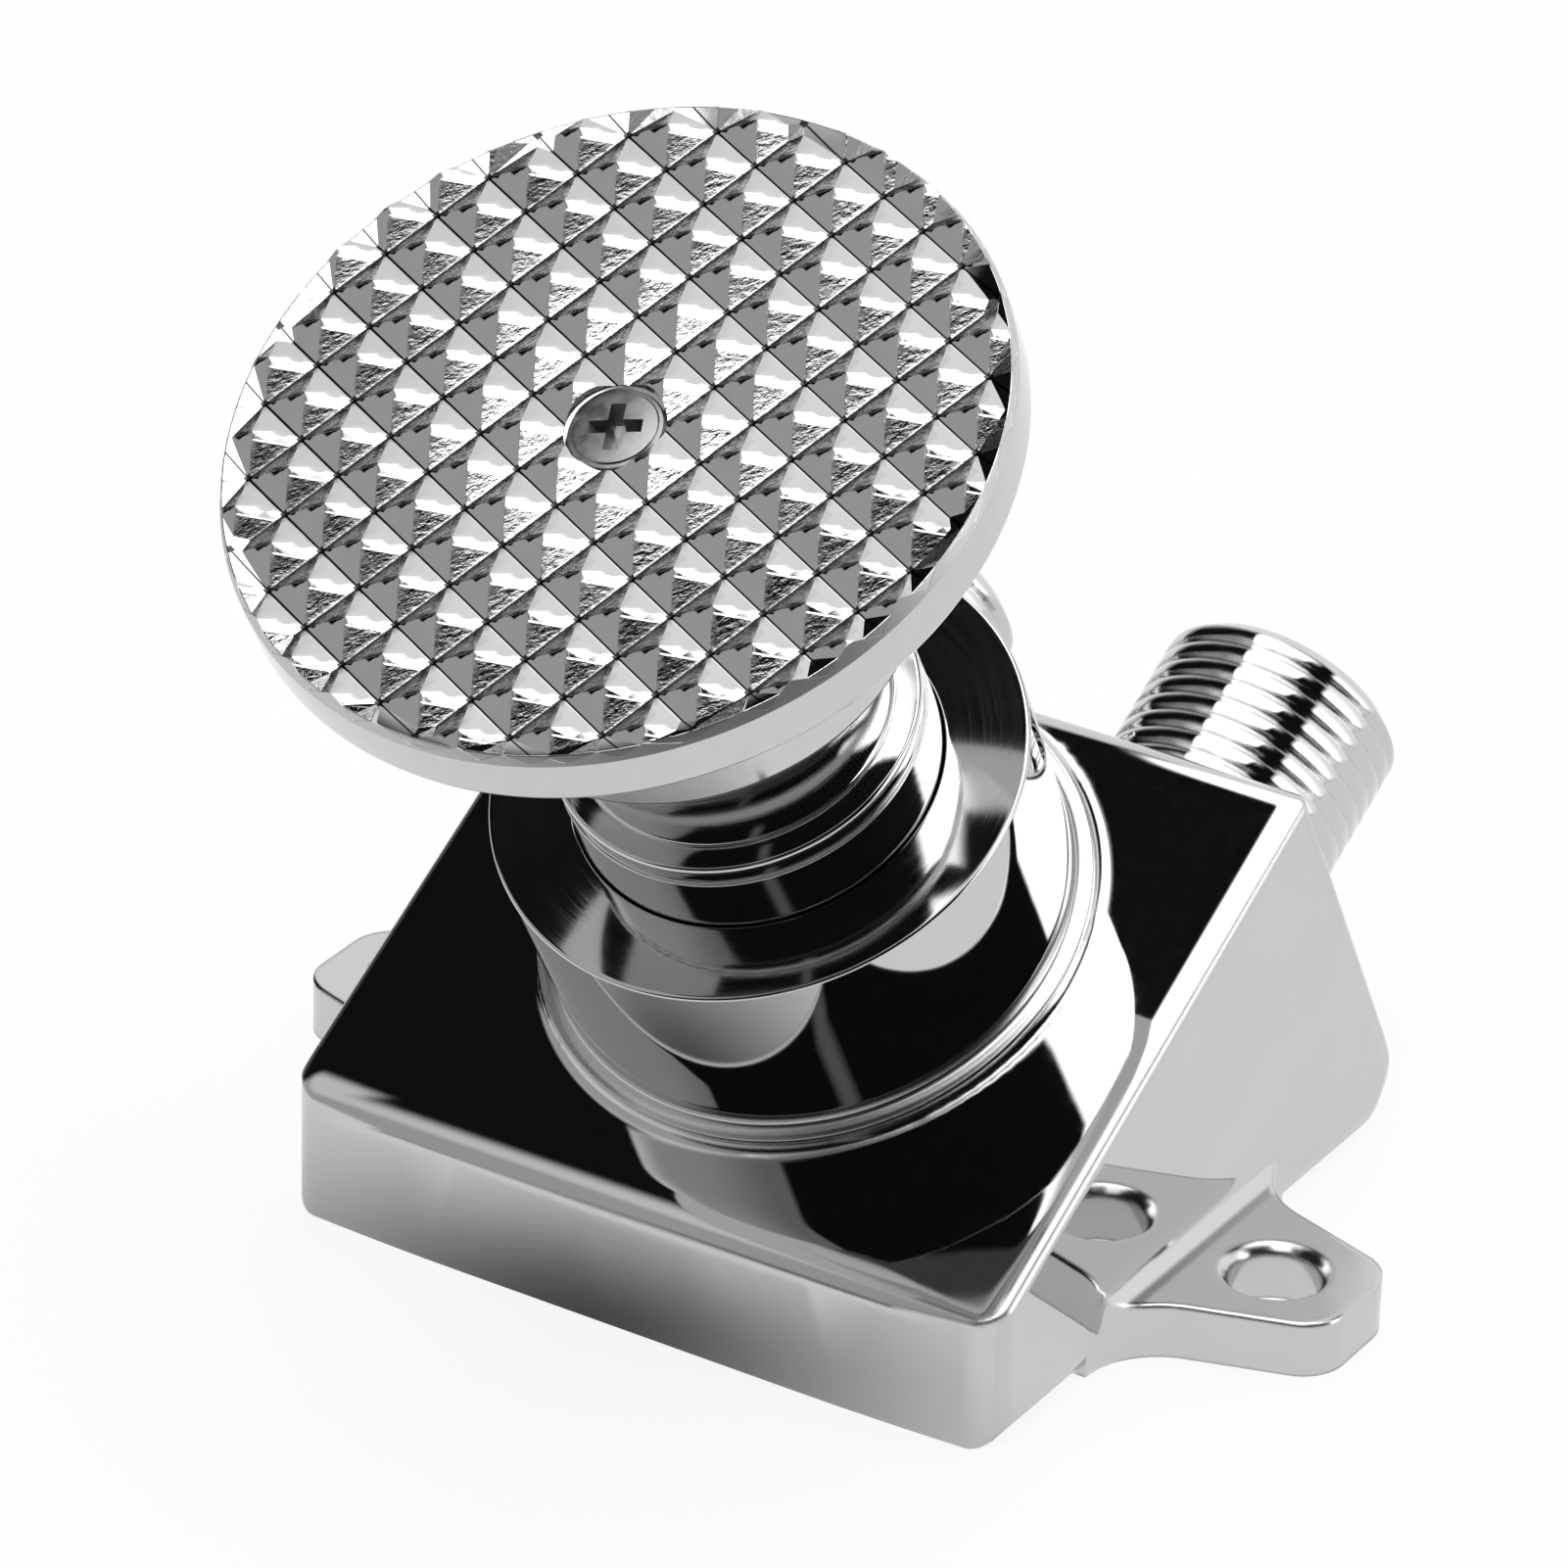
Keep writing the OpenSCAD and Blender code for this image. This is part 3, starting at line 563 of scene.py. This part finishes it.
def build_bonnet():
    """Turned collar, whose top has a ring of points beside each edge so that it shades flat."""
    foot_top = BONNET_FOOT_Z + BONNET_FOOT_H
    edge_r = 0.09
    rim_r = 0.28
    lip_r = 0.16
    flat_from = 0.15
    outline = rounded([
        (GLAND_R, GLAND_Z, 0), (SPIGOT_R, GLAND_Z, 0), (SPIGOT_R, BONNET_FOOT_Z, 0),
        (BONNET_FOOT_R, BONNET_FOOT_Z, edge_r), (BONNET_FOOT_R, foot_top, edge_r),
        *foot_sweep(foot_top, BONNET_FOOT_R - 2 * edge_r), (BONNET_R, BONNET_TOP, rim_r),
        (BONNET_R - rim_r - flat_from, BONNET_TOP, 0), (MOUTH_R + lip_r + flat_from, BONNET_TOP, 0),
        (MOUTH_R, BONNET_TOP, lip_r), (MOUTH_R, WIPER_Z + WIPER_H, 0), (WIPER_R, WIPER_Z + WIPER_H, 0),
        (WIPER_R, WIPER_Z, 0), (BORE_R, WIPER_Z, 0), (BORE_R, BUSH_Z + BUSH_H, 0),
        (BUSH_R, BUSH_Z + BUSH_H, 0), (BUSH_R, BUSH_Z, 0), (BORE_R, BUSH_Z, 0),
        (BORE_R, GLAND_TOP, 0), (GLAND_R, GLAND_TOP, 0),
    ])
    add_piece("bonnet_turned", lathe(outline), "housing", "bonnet")


def neck_arc(steps=24):
    """Points of the neck's hollow, from the step up to the boss."""
    wide = BOSS_R - NECK_R
    high = NECK_TOP - STEP_Z
    arc_r = (wide * wide + high * high) / (2 * wide)
    sweep = math.asin(high / arc_r)
    turns = [sweep * k / steps for k in range(steps + 1)]
    points = [(NECK_R + arc_r * (1 - math.cos(t)), STEP_Z + arc_r * math.sin(t), 0) for t in turns]
    root_r = 0.3
    return [(*points[0][:2], root_r), *points[2:]]


def build_plunger():
    mark_z = STEP_Z - 0.7
    mark_h = 1.4
    mark_r = PISTON_R - 0.3
    mark_edge = 0.12
    mark_root = 0.1
    edge = 0.4
    pocket_root = 0.5
    outline = rounded([
        (0, ROOF_Z, 0), (POCKET_R, ROOF_Z, pocket_root), (POCKET_R, PISTON_Z, 0), (PISTON_R, PISTON_Z, edge),
        (PISTON_R, O_RING_Z, 0), (O_RING_R, O_RING_Z, 0), (O_RING_R, O_RING_Z + O_RING_GROOVE, 0),
        (PISTON_R, O_RING_Z + O_RING_GROOVE, 0), (PISTON_R, mark_z - mark_h, mark_edge),
        (mark_r, mark_z - mark_h, mark_root), (mark_r, mark_z, mark_root), (PISTON_R, mark_z, mark_edge),
        (PISTON_R, STEP_Z, edge), *neck_arc(), (0, NECK_TOP, 0),
    ])
    add_piece("plunger_turned", lathe(outline), "pedal", "plunger")


# Distances from a valley to a crest at which the tread is sampled, closer where it bends
SAMPLES = (0.0, 0.08, 0.18, 0.4, 1.0, 1.9, 2.3, 2.44)
VALLEY_SOFT = 0.1
RIDGE_SOFT = 0.035


def tread_height(p, q):
    """Height of the tread at a place in the rows' own directions."""
    slope = TREAD_H / (TREAD_PITCH / 2)
    rise = []
    for x in (p, q):
        valley = abs((x / TREAD_PITCH) % 1 - 0.5) * TREAD_PITCH
        rise.append(slope * (math.hypot(valley, VALLEY_SOFT) - VALLEY_SOFT))
    gap = rise[0] - rise[1]
    return VALLEY_Z + (rise[0] + rise[1] - math.hypot(gap, RIDGE_SOFT)) / 2


def tread_slab(low_z):
    """Block with the tread on top, wider than the plate, in the stem's frame."""
    cells = math.ceil(PLATE_R / TREAD_PITCH) + 1
    half = TREAD_PITCH / 2
    offsets = [*SAMPLES, *[TREAD_PITCH - s for s in reversed(SAMPLES[1:])]]
    offsets.insert(len(SAMPLES), half)
    marks = [(i - 0.5) * TREAD_PITCH + o for i in range(-cells, cells + 1) for o in offsets]
    turn = Matrix.Rotation(TREAD_TURN, 3, "Z")
    bm = bmesh.new()
    grid = [[bm.verts.new(turn @ Vector((p, q, tread_height(p, q)))) for q in marks] for p in marks]
    last = len(marks) - 1
    for i in range(last):
        for j in range(last):
            a, b, c, d = grid[i][j], grid[i + 1][j], grid[i + 1][j + 1], grid[i][j + 1]
            rising = (marks[i] / TREAD_PITCH % 1 < 0.5) == (marks[j] / TREAD_PITCH % 1 < 0.5)
            for corners in ((a, b, c), (a, c, d)) if rising else ((a, b, d), (b, c, d)):
                bm.faces.new(corners)
    rim = [grid[i][0] for i in range(last)] + [grid[last][j] for j in range(last)]
    rim += [grid[i][last] for i in range(last, 0, -1)] + [grid[0][j] for j in range(last, 0, -1)]
    low = [bm.verts.new((v.co.x, v.co.y, low_z)) for v in rim]
    for k in range(len(rim)):
        n = (k + 1) % len(rim)
        bm.faces.new((rim[k], low[k], low[n], rim[n]))
    bm.faces.new(low)
    bmesh.ops.recalc_face_normals(bm, faces=bm.faces)
    return bm


def drop_level(bm, z):
    """Takes away the faces that lie flat at a height."""
    flat = [f for f in bm.faces if all(abs(v.co.z - z) < 1e-3 for v in f.verts)]
    bmesh.ops.delete(bm, geom=flat, context="FACES_ONLY")


def build_pedal_plate():
    """Tread cut to the plate's round, with its border on it and the boss below."""
    bevel_z = VALLEY_Z - BEVEL_DROP
    join_z = bevel_z - 0.4
    top = VALLEY_Z + TREAD_H + 0.2
    bevel_r = PLATE_R - (top - bevel_z) * BORDER_LEAN
    screw_gap = 0.02
    head_r = SCREW_HEAD_R + screw_gap
    hole_r = SCREW_R + screw_gap
    seat_r = head_r + 0.3
    seat_z = SCREW_HEAD_Z + 0.12
    join_r = head_r - SCREW_HEAD_Z + join_z
    rim_edge = 0.1
    under_edge = 0.5
    crest_edge = 0.12
    boss_edge = 0.2
    boss_root = 0.8
    segments = 256
    upper = rounded([
        (join_r, join_z, 0), (PLATE_R, join_z, 0), (PLATE_R, bevel_z, rim_edge), (bevel_r, top, 0),
        (seat_r, top, 0), (seat_r, seat_z, 0), (head_r, SCREW_HEAD_Z, 0),
    ])
    lower = rounded([
        (hole_r, NECK_TOP, 0), (BOSS_R, NECK_TOP, boss_edge), (BOSS_R, PLATE_Z, boss_root),
        (PLATE_R, PLATE_Z, under_edge), (PLATE_R, join_z, 0), (join_r, join_z, 0),
        (hole_r, SCREW_HEAD_Z - head_r + hole_r, 0),
    ])
    inside = 0.03
    crest_r = PLATE_R - (VALLEY_Z + BORDER_H - bevel_z) * BORDER_LEAN - inside
    border = rounded([
        (PLATE_R - BORDER_W, bevel_z, 0), (PLATE_R - inside, bevel_z, 0),
        (crest_r, VALLEY_Z + BORDER_H, crest_edge), (PLATE_R - BORDER_W, VALLEY_Z - inside, 0),
    ])
    plate = combine(tread_slab(join_z - 1), lathe(upper, segments), "INTERSECT")
    drop_level(plate, join_z)
    under = lathe(lower, segments)
    drop_level(under, join_z)
    for part in (under, lathe(border, segments)):
        mesh = bpy.data.meshes.new("part")
        part.to_mesh(mesh)
        part.free()
        plate.from_mesh(mesh)
        bpy.data.meshes.remove(mesh)
    bmesh.ops.remove_doubles(plate, verts=plate.verts, dist=1e-3)
    add_piece("pedal_plate_cast", plate, "pedal", "pedal_plate")


def build_screw():
    """Countersunk screw with a low rim round its domed head and a cross recess."""
    z = SCREW_HEAD_Z
    ring_r = SCREW_HEAD_R - 0.42
    ring_h = 0.3
    rim_h = 0.14
    rim_edge = 0.05
    step_w = 0.12
    step_h = rim_h + 0.02
    dome_share = 0.55
    dome_drop = 0.06
    tip = 0.5
    outline = rounded([
        (0, SCREW_TIP, 0), (SCREW_R - tip, SCREW_TIP, 0), (SCREW_R, SCREW_TIP + tip, 0),
        (SCREW_R, z - SCREW_HEAD_R + SCREW_R, 0), (SCREW_HEAD_R, z, 0.04),
        (SCREW_HEAD_R, z + rim_h, rim_edge), (ring_r + step_w, z + step_h, rim_edge),
        (ring_r, z + ring_h, step_w), (ring_r * dome_share, z + SCREW_DOME - dome_drop, 0),
        (0, z + SCREW_DOME, 0),
    ])
    screw = lathe(outline, 96)
    for turn in (math.pi / 4, -math.pi / 4):
        screw = combine(screw, recess_wing(turn), "DIFFERENCE")
    add_piece("pedal_screw_head", screw, "pedal", "pedal_screw")


def recess_wing(turn, length=4.8, width=1.25, depth=1.6, taper=0.5):
    """One bar of the cross recess, narrower and shorter towards its floor."""
    bm = bmesh.new()
    top = SCREW_HEAD_Z + SCREW_DOME + 0.3
    place = Matrix.Rotation(TREAD_TURN + turn, 3, "Z")
    rings = []
    for z, share in ((top, 1.0), (top - depth - 0.3, taper)):
        corners = [(1, 1), (-1, 1), (-1, -1), (1, -1)]
        rings.append([
            bm.verts.new(place @ Vector((sx * length * share / 2, sy * width * (1 + share) / 4, z)))
            for sx, sy in corners
        ])
    for k in range(4):
        n = (k + 1) % 4
        bm.faces.new((rings[0][k], rings[0][n], rings[1][n], rings[1][k]))
    for ring in rings:
        bm.faces.new(ring)
    bmesh.ops.recalc_face_normals(bm, faces=bm.faces)
    return bm


def thread_rise(phase):
    """Height of a rounded thread over its root, from 0 to 1, at a share of the pitch."""
    crown_drop = 0.035
    groove_from = 0.66
    groove_depth = 0.2
    from_crest = abs(2 * (phase % 1) - 1)
    crown = 1 - crown_drop * from_crest * from_crest
    groove = min(max((from_crest - groove_from) / (1 - groove_from), 0), 1)
    return crown - groove * groove * (3 - 2 * groove) * groove_depth


def build_port(name, mount):
    """Threaded stub along a port's axis, from the casting's rear face to its open end."""
    centre = Vector(mount["pos_m"])
    along = (centre - face_point).dot(slope_axis) / MM
    place = frame_at(width_axis, slope_axis, centre - slope_axis * along * MM)
    crest_r = mount["dims"]["r_mm"]
    bore_r = mounts[name.replace("port", "mouth")]["dims"]["r_mm"]
    thread_z = FACE_REAR + PORT_NECK_L
    root_r = PORT_NECK_R - 0.2
    run_in_pitches = 1 / 1.5
    segments = 144
    slices = 22
    edge = 0.3
    sunk = 0.4
    count = math.ceil((PORT_REACH - thread_z) / THREAD_PITCH * slices)
    marks = [PORT_REACH + (thread_z - PORT_REACH) * k / count for k in range(count + 1)]
    profile = [
        (PASSAGE_R, FACE_REAR - 1, False), (PASSAGE_R, thread_z, False), (bore_r, thread_z, False),
        (bore_r, PORT_REACH - edge, False), (bore_r + edge, PORT_REACH, False),
        *[(root_r, z, True) for z in marks],
        (PORT_NECK_R, thread_z - edge, False), (PORT_NECK_R, FACE_REAR + sunk, False),
        (PORT_NECK_R + sunk, FACE_REAR - sunk, False),
    ]
    bm = bmesh.new()
    rings = []
    for r, z, threaded in profile:
        ring = []
        for k in range(segments):
            turn = 2 * math.pi * k / segments
            radius = r
            if threaded:
                run_in = min((z - thread_z) / (THREAD_PITCH * run_in_pitches), 1)
                rise = thread_rise(z / THREAD_PITCH - k / segments) * run_in
                radius = min(r + (crest_r - r) * rise, PORT_NECK_R + (PORT_REACH - z))
            ring.append(bm.verts.new((radius * math.cos(turn), radius * math.sin(turn), z)))
        rings.append(ring)
    skin(bm, rings, segments)
    add_piece(name + "_thread", bm, "housing", "valve_body", place)


def on_a_stub(point):
    """Whether a point lies on one of the port stubs behind the casting's rear face."""
    behind = 0.05
    around = 0.3
    if (point - face_point).dot(slope_axis) < (FACE_REAR + behind) * MM:
        return False
    for name in ("inlet_port", "outlet_port"):
        away = point - Vector(mounts[name]["pos_m"])
        away -= slope_axis * away.dot(slope_axis)
        if away.length < (mounts[name]["dims"]["r_mm"] + around) * MM:
            return True
    return False


def roll_front(bm):
    """Lets the slanted face roll off towards its front edge, further at the left."""
    cuts = 12
    widest = ROLL_W + ROLL_SPREAD
    for k in range(cuts + 1):
        along = FACE_FRONT - widest * k / cuts
        bmesh.ops.bisect_plane(
            bm, geom=[*bm.verts, *bm.edges, *bm.faces], dist=1e-7,
            plane_co=face_point - slope_axis * along * MM, plane_no=slope_axis,
        )
    for vert in bm.verts:
        away = vert.co - face_point
        if away.dot(stem_axis) < -ROLL_DEPTH * MM:
            continue
        width = ROLL_W - ROLL_SPREAD * away.dot(width_axis) / (HALF_WIDTH * MM)
        share = 1 - max(FACE_FRONT + away.dot(slope_axis) / MM, 0) / width
        if share > 0:
            vert.co.z -= ROLL_STEEP * width * share * share * MM


def build_casting():
    """The casting's own surface without its plain port stubs, which the threaded ones take over."""
    source = frame["nodes"]["valve_body"].data
    bm = bmesh.new()
    bm.from_mesh(source)
    bmesh.ops.remove_doubles(bm, verts=bm.verts, dist=1e-6)
    stubs = [f for f in bm.faces if on_a_stub(f.calc_center_median())]
    bmesh.ops.delete(bm, geom=stubs, context="FACES")
    roll_front(bm)
    piece = add_piece("valve_body_casting", bm, "housing", "valve_body", Matrix.Identity(4), 1.0)
    even = piece.modifiers.new("even_normals", "WEIGHTED_NORMAL")
    even.mode = "FACE_AREA"
    even.weight = 100
    even.keep_sharp = True


def build_spring():
    """Coil of round wire under the plunger's roof."""
    sides = 16
    rounds = 32
    count = int(COIL_TURNS * rounds)
    low = COIL_LOW + WIRE_R
    climb = COIL_HIGH - WIRE_R - low
    bm = bmesh.new()
    rings = []
    for i in range(count + 1):
        turn = Matrix.Rotation(2 * math.pi * i / rounds, 3, "Z")
        centre = Vector((COIL_R, 0, low + climb * i / count))
        ring = [2 * math.pi * k / sides for k in range(sides)]
        rings.append([
            bm.verts.new(turn @ (centre + Vector((WIRE_R * math.cos(t), 0, WIRE_R * math.sin(t)))))
            for t in ring
        ])
    for low_ring, high_ring in zip(rings, rings[1:]):
        for k in range(sides):
            n = (k + 1) % sides
            bm.faces.new((low_ring[k], low_ring[n], high_ring[n], high_ring[k]))
    bm.faces.new(rings[0])
    bm.faces.new(rings[-1])
    bmesh.ops.recalc_face_normals(bm, faces=bm.faces)
    piece = add_piece("return_spring_coil", bm, "housing", "return_spring")
    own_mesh(piece)


def dress_cad_nodes():
    """Finishes for the CAD nodes that stay as they are."""
    for node, slot in SLOT_OF.items():
        mesh = frame["nodes"][node].data
        mesh.materials.clear()
        mesh.materials.append(FINISHES[slot])


# Floor, light and camera


# Half of the floor's width in metres, its paleness and the share of it that glows where it is seen
FLOOR_HALF = 6.0
FLOOR_PALE = 0.9
FLOOR_GLOW = 0.88
# Way to the camera along the floor, and how far off it, in millimetres, painted shade makes the mirrored floor
# fall dark
FLOOR_AHEAD = Vector((0.5225, -0.8526, 0))
FLOOR_FADE = (80, 150)
FLOOR_FADED = 0.1
# Painted shadow of the object on the mirrored floor: foot of the front wall, where the object shades it most, its
# reach and its levels
SHADE_AT = Vector((-4, -31, 0))
SHADE_REACH = 50
SHADE_LEVELS = (0.08, 0.95)


def build_floor():
    """Wide floor that shows near white, with painted shade that darkens it in metal where the object or the camera
    would shade it.
    """
    bm = bmesh.new()
    bmesh.ops.create_grid(bm, x_segments=2, y_segments=2, size=FLOOR_HALF)
    mesh = bpy.data.meshes.new("floor")
    bm.to_mesh(mesh)
    bm.free()
    floor = bpy.data.objects.new("floor", mesh)
    scene.collection.objects.link(floor)
    material, graph = new_material("floor_white")
    path = graph.add("ShaderNodeLightPath")
    seen = graph.math("MAXIMUM", path.outputs["Is Camera Ray"], path.outputs["Is Glossy Ray"])
    seen = graph.math("MAXIMUM", seen, path.outputs["Is Transmission Ray"])
    ahead = graph.vector("DOT_PRODUCT", graph.local(), FLOOR_AHEAD)
    # Painted shade: far ahead, towards the camera, the floor's glow and paleness fall dark in metal; the camera
    # sees it white
    far_painted_shade = graph.step(ahead, *FLOOR_FADE, 1.0, FLOOR_FADED)
    far_painted_shade = graph.math("MAXIMUM", far_painted_shade, path.outputs["Is Camera Ray"])
    pale = graph.ramp(far_painted_shade, [(0.0, grey(0.0)), (1.0, grey(FLOOR_PALE))])
    matt = graph.add("ShaderNodeBsdfDiffuse", {"Color": pale})
    # Painted shadow: the floor's glow, as metal mirrors it, is dimmed round the foot of the front wall; the camera
    # sees it white
    off = graph.vector("MULTIPLY", graph.vector("SUBTRACT", graph.local(), SHADE_AT), (1, 2, 0))
    painted_shadow = graph.step(graph.vector("LENGTH", off), 0, SHADE_REACH, *SHADE_LEVELS)
    painted_shadow = graph.math("MAXIMUM", painted_shadow, path.outputs["Is Camera Ray"])
    glow = graph.math("MULTIPLY", far_painted_shade, painted_shadow)
    white = graph.add("ShaderNodeEmission", {"Color": (*grey(1.0), 1), "Strength": glow})
    share = graph.math("MULTIPLY", seen, FLOOR_GLOW)
    mix = graph.add("ShaderNodeMixShader", {0: share, 1: matt.outputs[0], 2: white.outputs[0]})
    graph.add("ShaderNodeOutputMaterial", {"Surface": mix.outputs[0]})
    mesh.materials.append(material)


# The studio seen from the object. A white strip overhead has a left and a right border, each a plane
# through the object. To its right, round the camera, and to its left the room is dark. A grey card stands
# at the front left and a white one at the back.
STRIP_LEFT = Vector((1.0, 0.0, 0.41))
STRIP_RIGHT = Vector((0.886, -0.187, -0.424))
CARD_RIGHT = Vector((0.762, -0.425, -0.488))
STAND_SIDE = Vector((0.928, 0.371, 0.0))
LEFT_BLUR = 0.02
RIGHT_BLUR = 0.015
# Levels of light: the strip from front to back, the card from left to right and what its top adds, the stand
# at the right and the dark room
STRIP_LEVELS = (3.2, 1.13)
CARD_LEVELS = (0.48, 0.26)
CARD_TOP = 0.3
STAND_LEVEL = 0.18
ROOM_LEVEL = 0.008


def build_world():
    """Soft studio, as levels over the direction in which the sky is seen."""
    world = bpy.data.worlds.new("studio")
    world.use_nodes = True
    scene.world = world
    graph = Graph(world.node_tree)
    toward = graph.add("ShaderNodeTexCoord").outputs["Generated"]
    x, y, z = graph.split(toward)

    def mix(a, b, share):
        return graph.math("MULTIPLY_ADD", graph.math("SUBTRACT", b, a), share, a)

    def beyond(normal):
        return graph.vector("DOT_PRODUCT", toward, normal)

    # The dark room at the right, apart from the pale wall low at its back, and over the object's rear
    past_right = graph.math("MAXIMUM", beyond(STRIP_RIGHT), beyond(CARD_RIGHT))
    dark = graph.step(past_right, -RIGHT_BLUR, RIGHT_BLUR)
    side_glow = graph.math("MULTIPLY", graph.step(z, 0.62, 0.70, 1.0, 0.0), graph.step(y, 0.04, 0.12))
    dark = graph.math("MULTIPLY", dark, graph.math("SUBTRACT", 1.0, side_glow))
    behind = graph.math("MULTIPLY", graph.step(y, 0.36, 0.48), graph.step(x, -0.12, 0.0))
    behind = graph.math("MULTIPLY", behind, graph.step(z, 0.60, 0.68))
    dark = graph.math("MAXIMUM", dark, behind)

    # The strip, which ends at the grey card in front, and what stands to its left
    card = graph.step(x, -0.5, -0.2, *CARD_LEVELS)
    card = graph.math("ADD", card, graph.step(z, 0.70, 0.80, 0.0, CARD_TOP))
    strip = mix(graph.step(y, 0.2, 0.6, *STRIP_LEVELS), card, graph.step(y, -0.7, -0.42, 1.0, 0.0))
    left = graph.math("MULTIPLY", card, graph.step(y, -0.26, -0.18, 1.0, 0.0))
    left = graph.math("ADD", left, graph.step(y, 0.4, 0.6))
    level = mix(left, strip, graph.step(beyond(STRIP_LEFT), -LEFT_BLUR, LEFT_BLUR))
    level = graph.math("MULTIPLY", level, graph.math("SUBTRACT", 1.0, dark))

    # The upright stand, a faint streak in the dark at the right
    stand = graph.step(graph.math("ABSOLUTE", beyond(STAND_SIDE)), 0.01, 0.07, STAND_LEVEL, 0.0)
    stand = graph.math("MULTIPLY", stand, graph.step(x, 0.1, 0.2))
    stand = graph.math("MULTIPLY", stand, graph.step(z, 0.40, 0.46, 1.0, 0.0))
    level = graph.math("MAXIMUM", level, graph.math("MAXIMUM", stand, ROOM_LEVEL))
    sky = graph.add("ShaderNodeBackground", {"Color": (*grey(1.0), 1), "Strength": level})
    graph.add("ShaderNodeOutputWorld", {"Surface": sky.outputs[0]})


# Camera: aim and distance in millimetres, lens and sensor in millimetres, and its clipping in metres
CAMERA_AIM = (-4.9, -1.34, 34.95)
CAMERA_DISTANCE = 710.91
CAMERA_AZIMUTH = math.radians(31.5)
CAMERA_ELEVATION = math.radians(28.04)
CAMERA_ROLL = math.radians(1.705)
CAMERA_LENS = 204.065
CAMERA_SENSOR = 36
CAMERA_CLIP = (0.01, 50)


def build_camera():
    data = bpy.data.cameras.new("camera")
    data.sensor_width = CAMERA_SENSOR
    data.lens = CAMERA_LENS
    data.clip_start, data.clip_end = CAMERA_CLIP
    camera = bpy.data.objects.new("camera", data)
    scene.collection.objects.link(camera)
    flat = math.cos(CAMERA_ELEVATION)
    back = Vector((
        math.sin(CAMERA_AZIMUTH) * flat, -math.cos(CAMERA_AZIMUTH) * flat, math.sin(CAMERA_ELEVATION)
    ))
    level_right = Vector((math.cos(CAMERA_AZIMUTH), math.sin(CAMERA_AZIMUTH), 0))
    level_up = back.cross(level_right)
    right = level_right * math.cos(CAMERA_ROLL) + level_up * math.sin(CAMERA_ROLL)
    eye = Vector(CAMERA_AIM) + back * CAMERA_DISTANCE
    camera.matrix_world = frame_at(right, back, eye * MM)
    scene.camera = camera


dress_cad_nodes()
build_casting()
build_port("inlet_port", mounts["inlet_port"])
build_port("outlet_port", mounts["outlet_port"])
build_bonnet()
build_plunger()
build_pedal_plate()
build_screw()
build_spring()
build_floor()
build_world()
build_camera()
scene.view_settings.view_transform = "Standard"
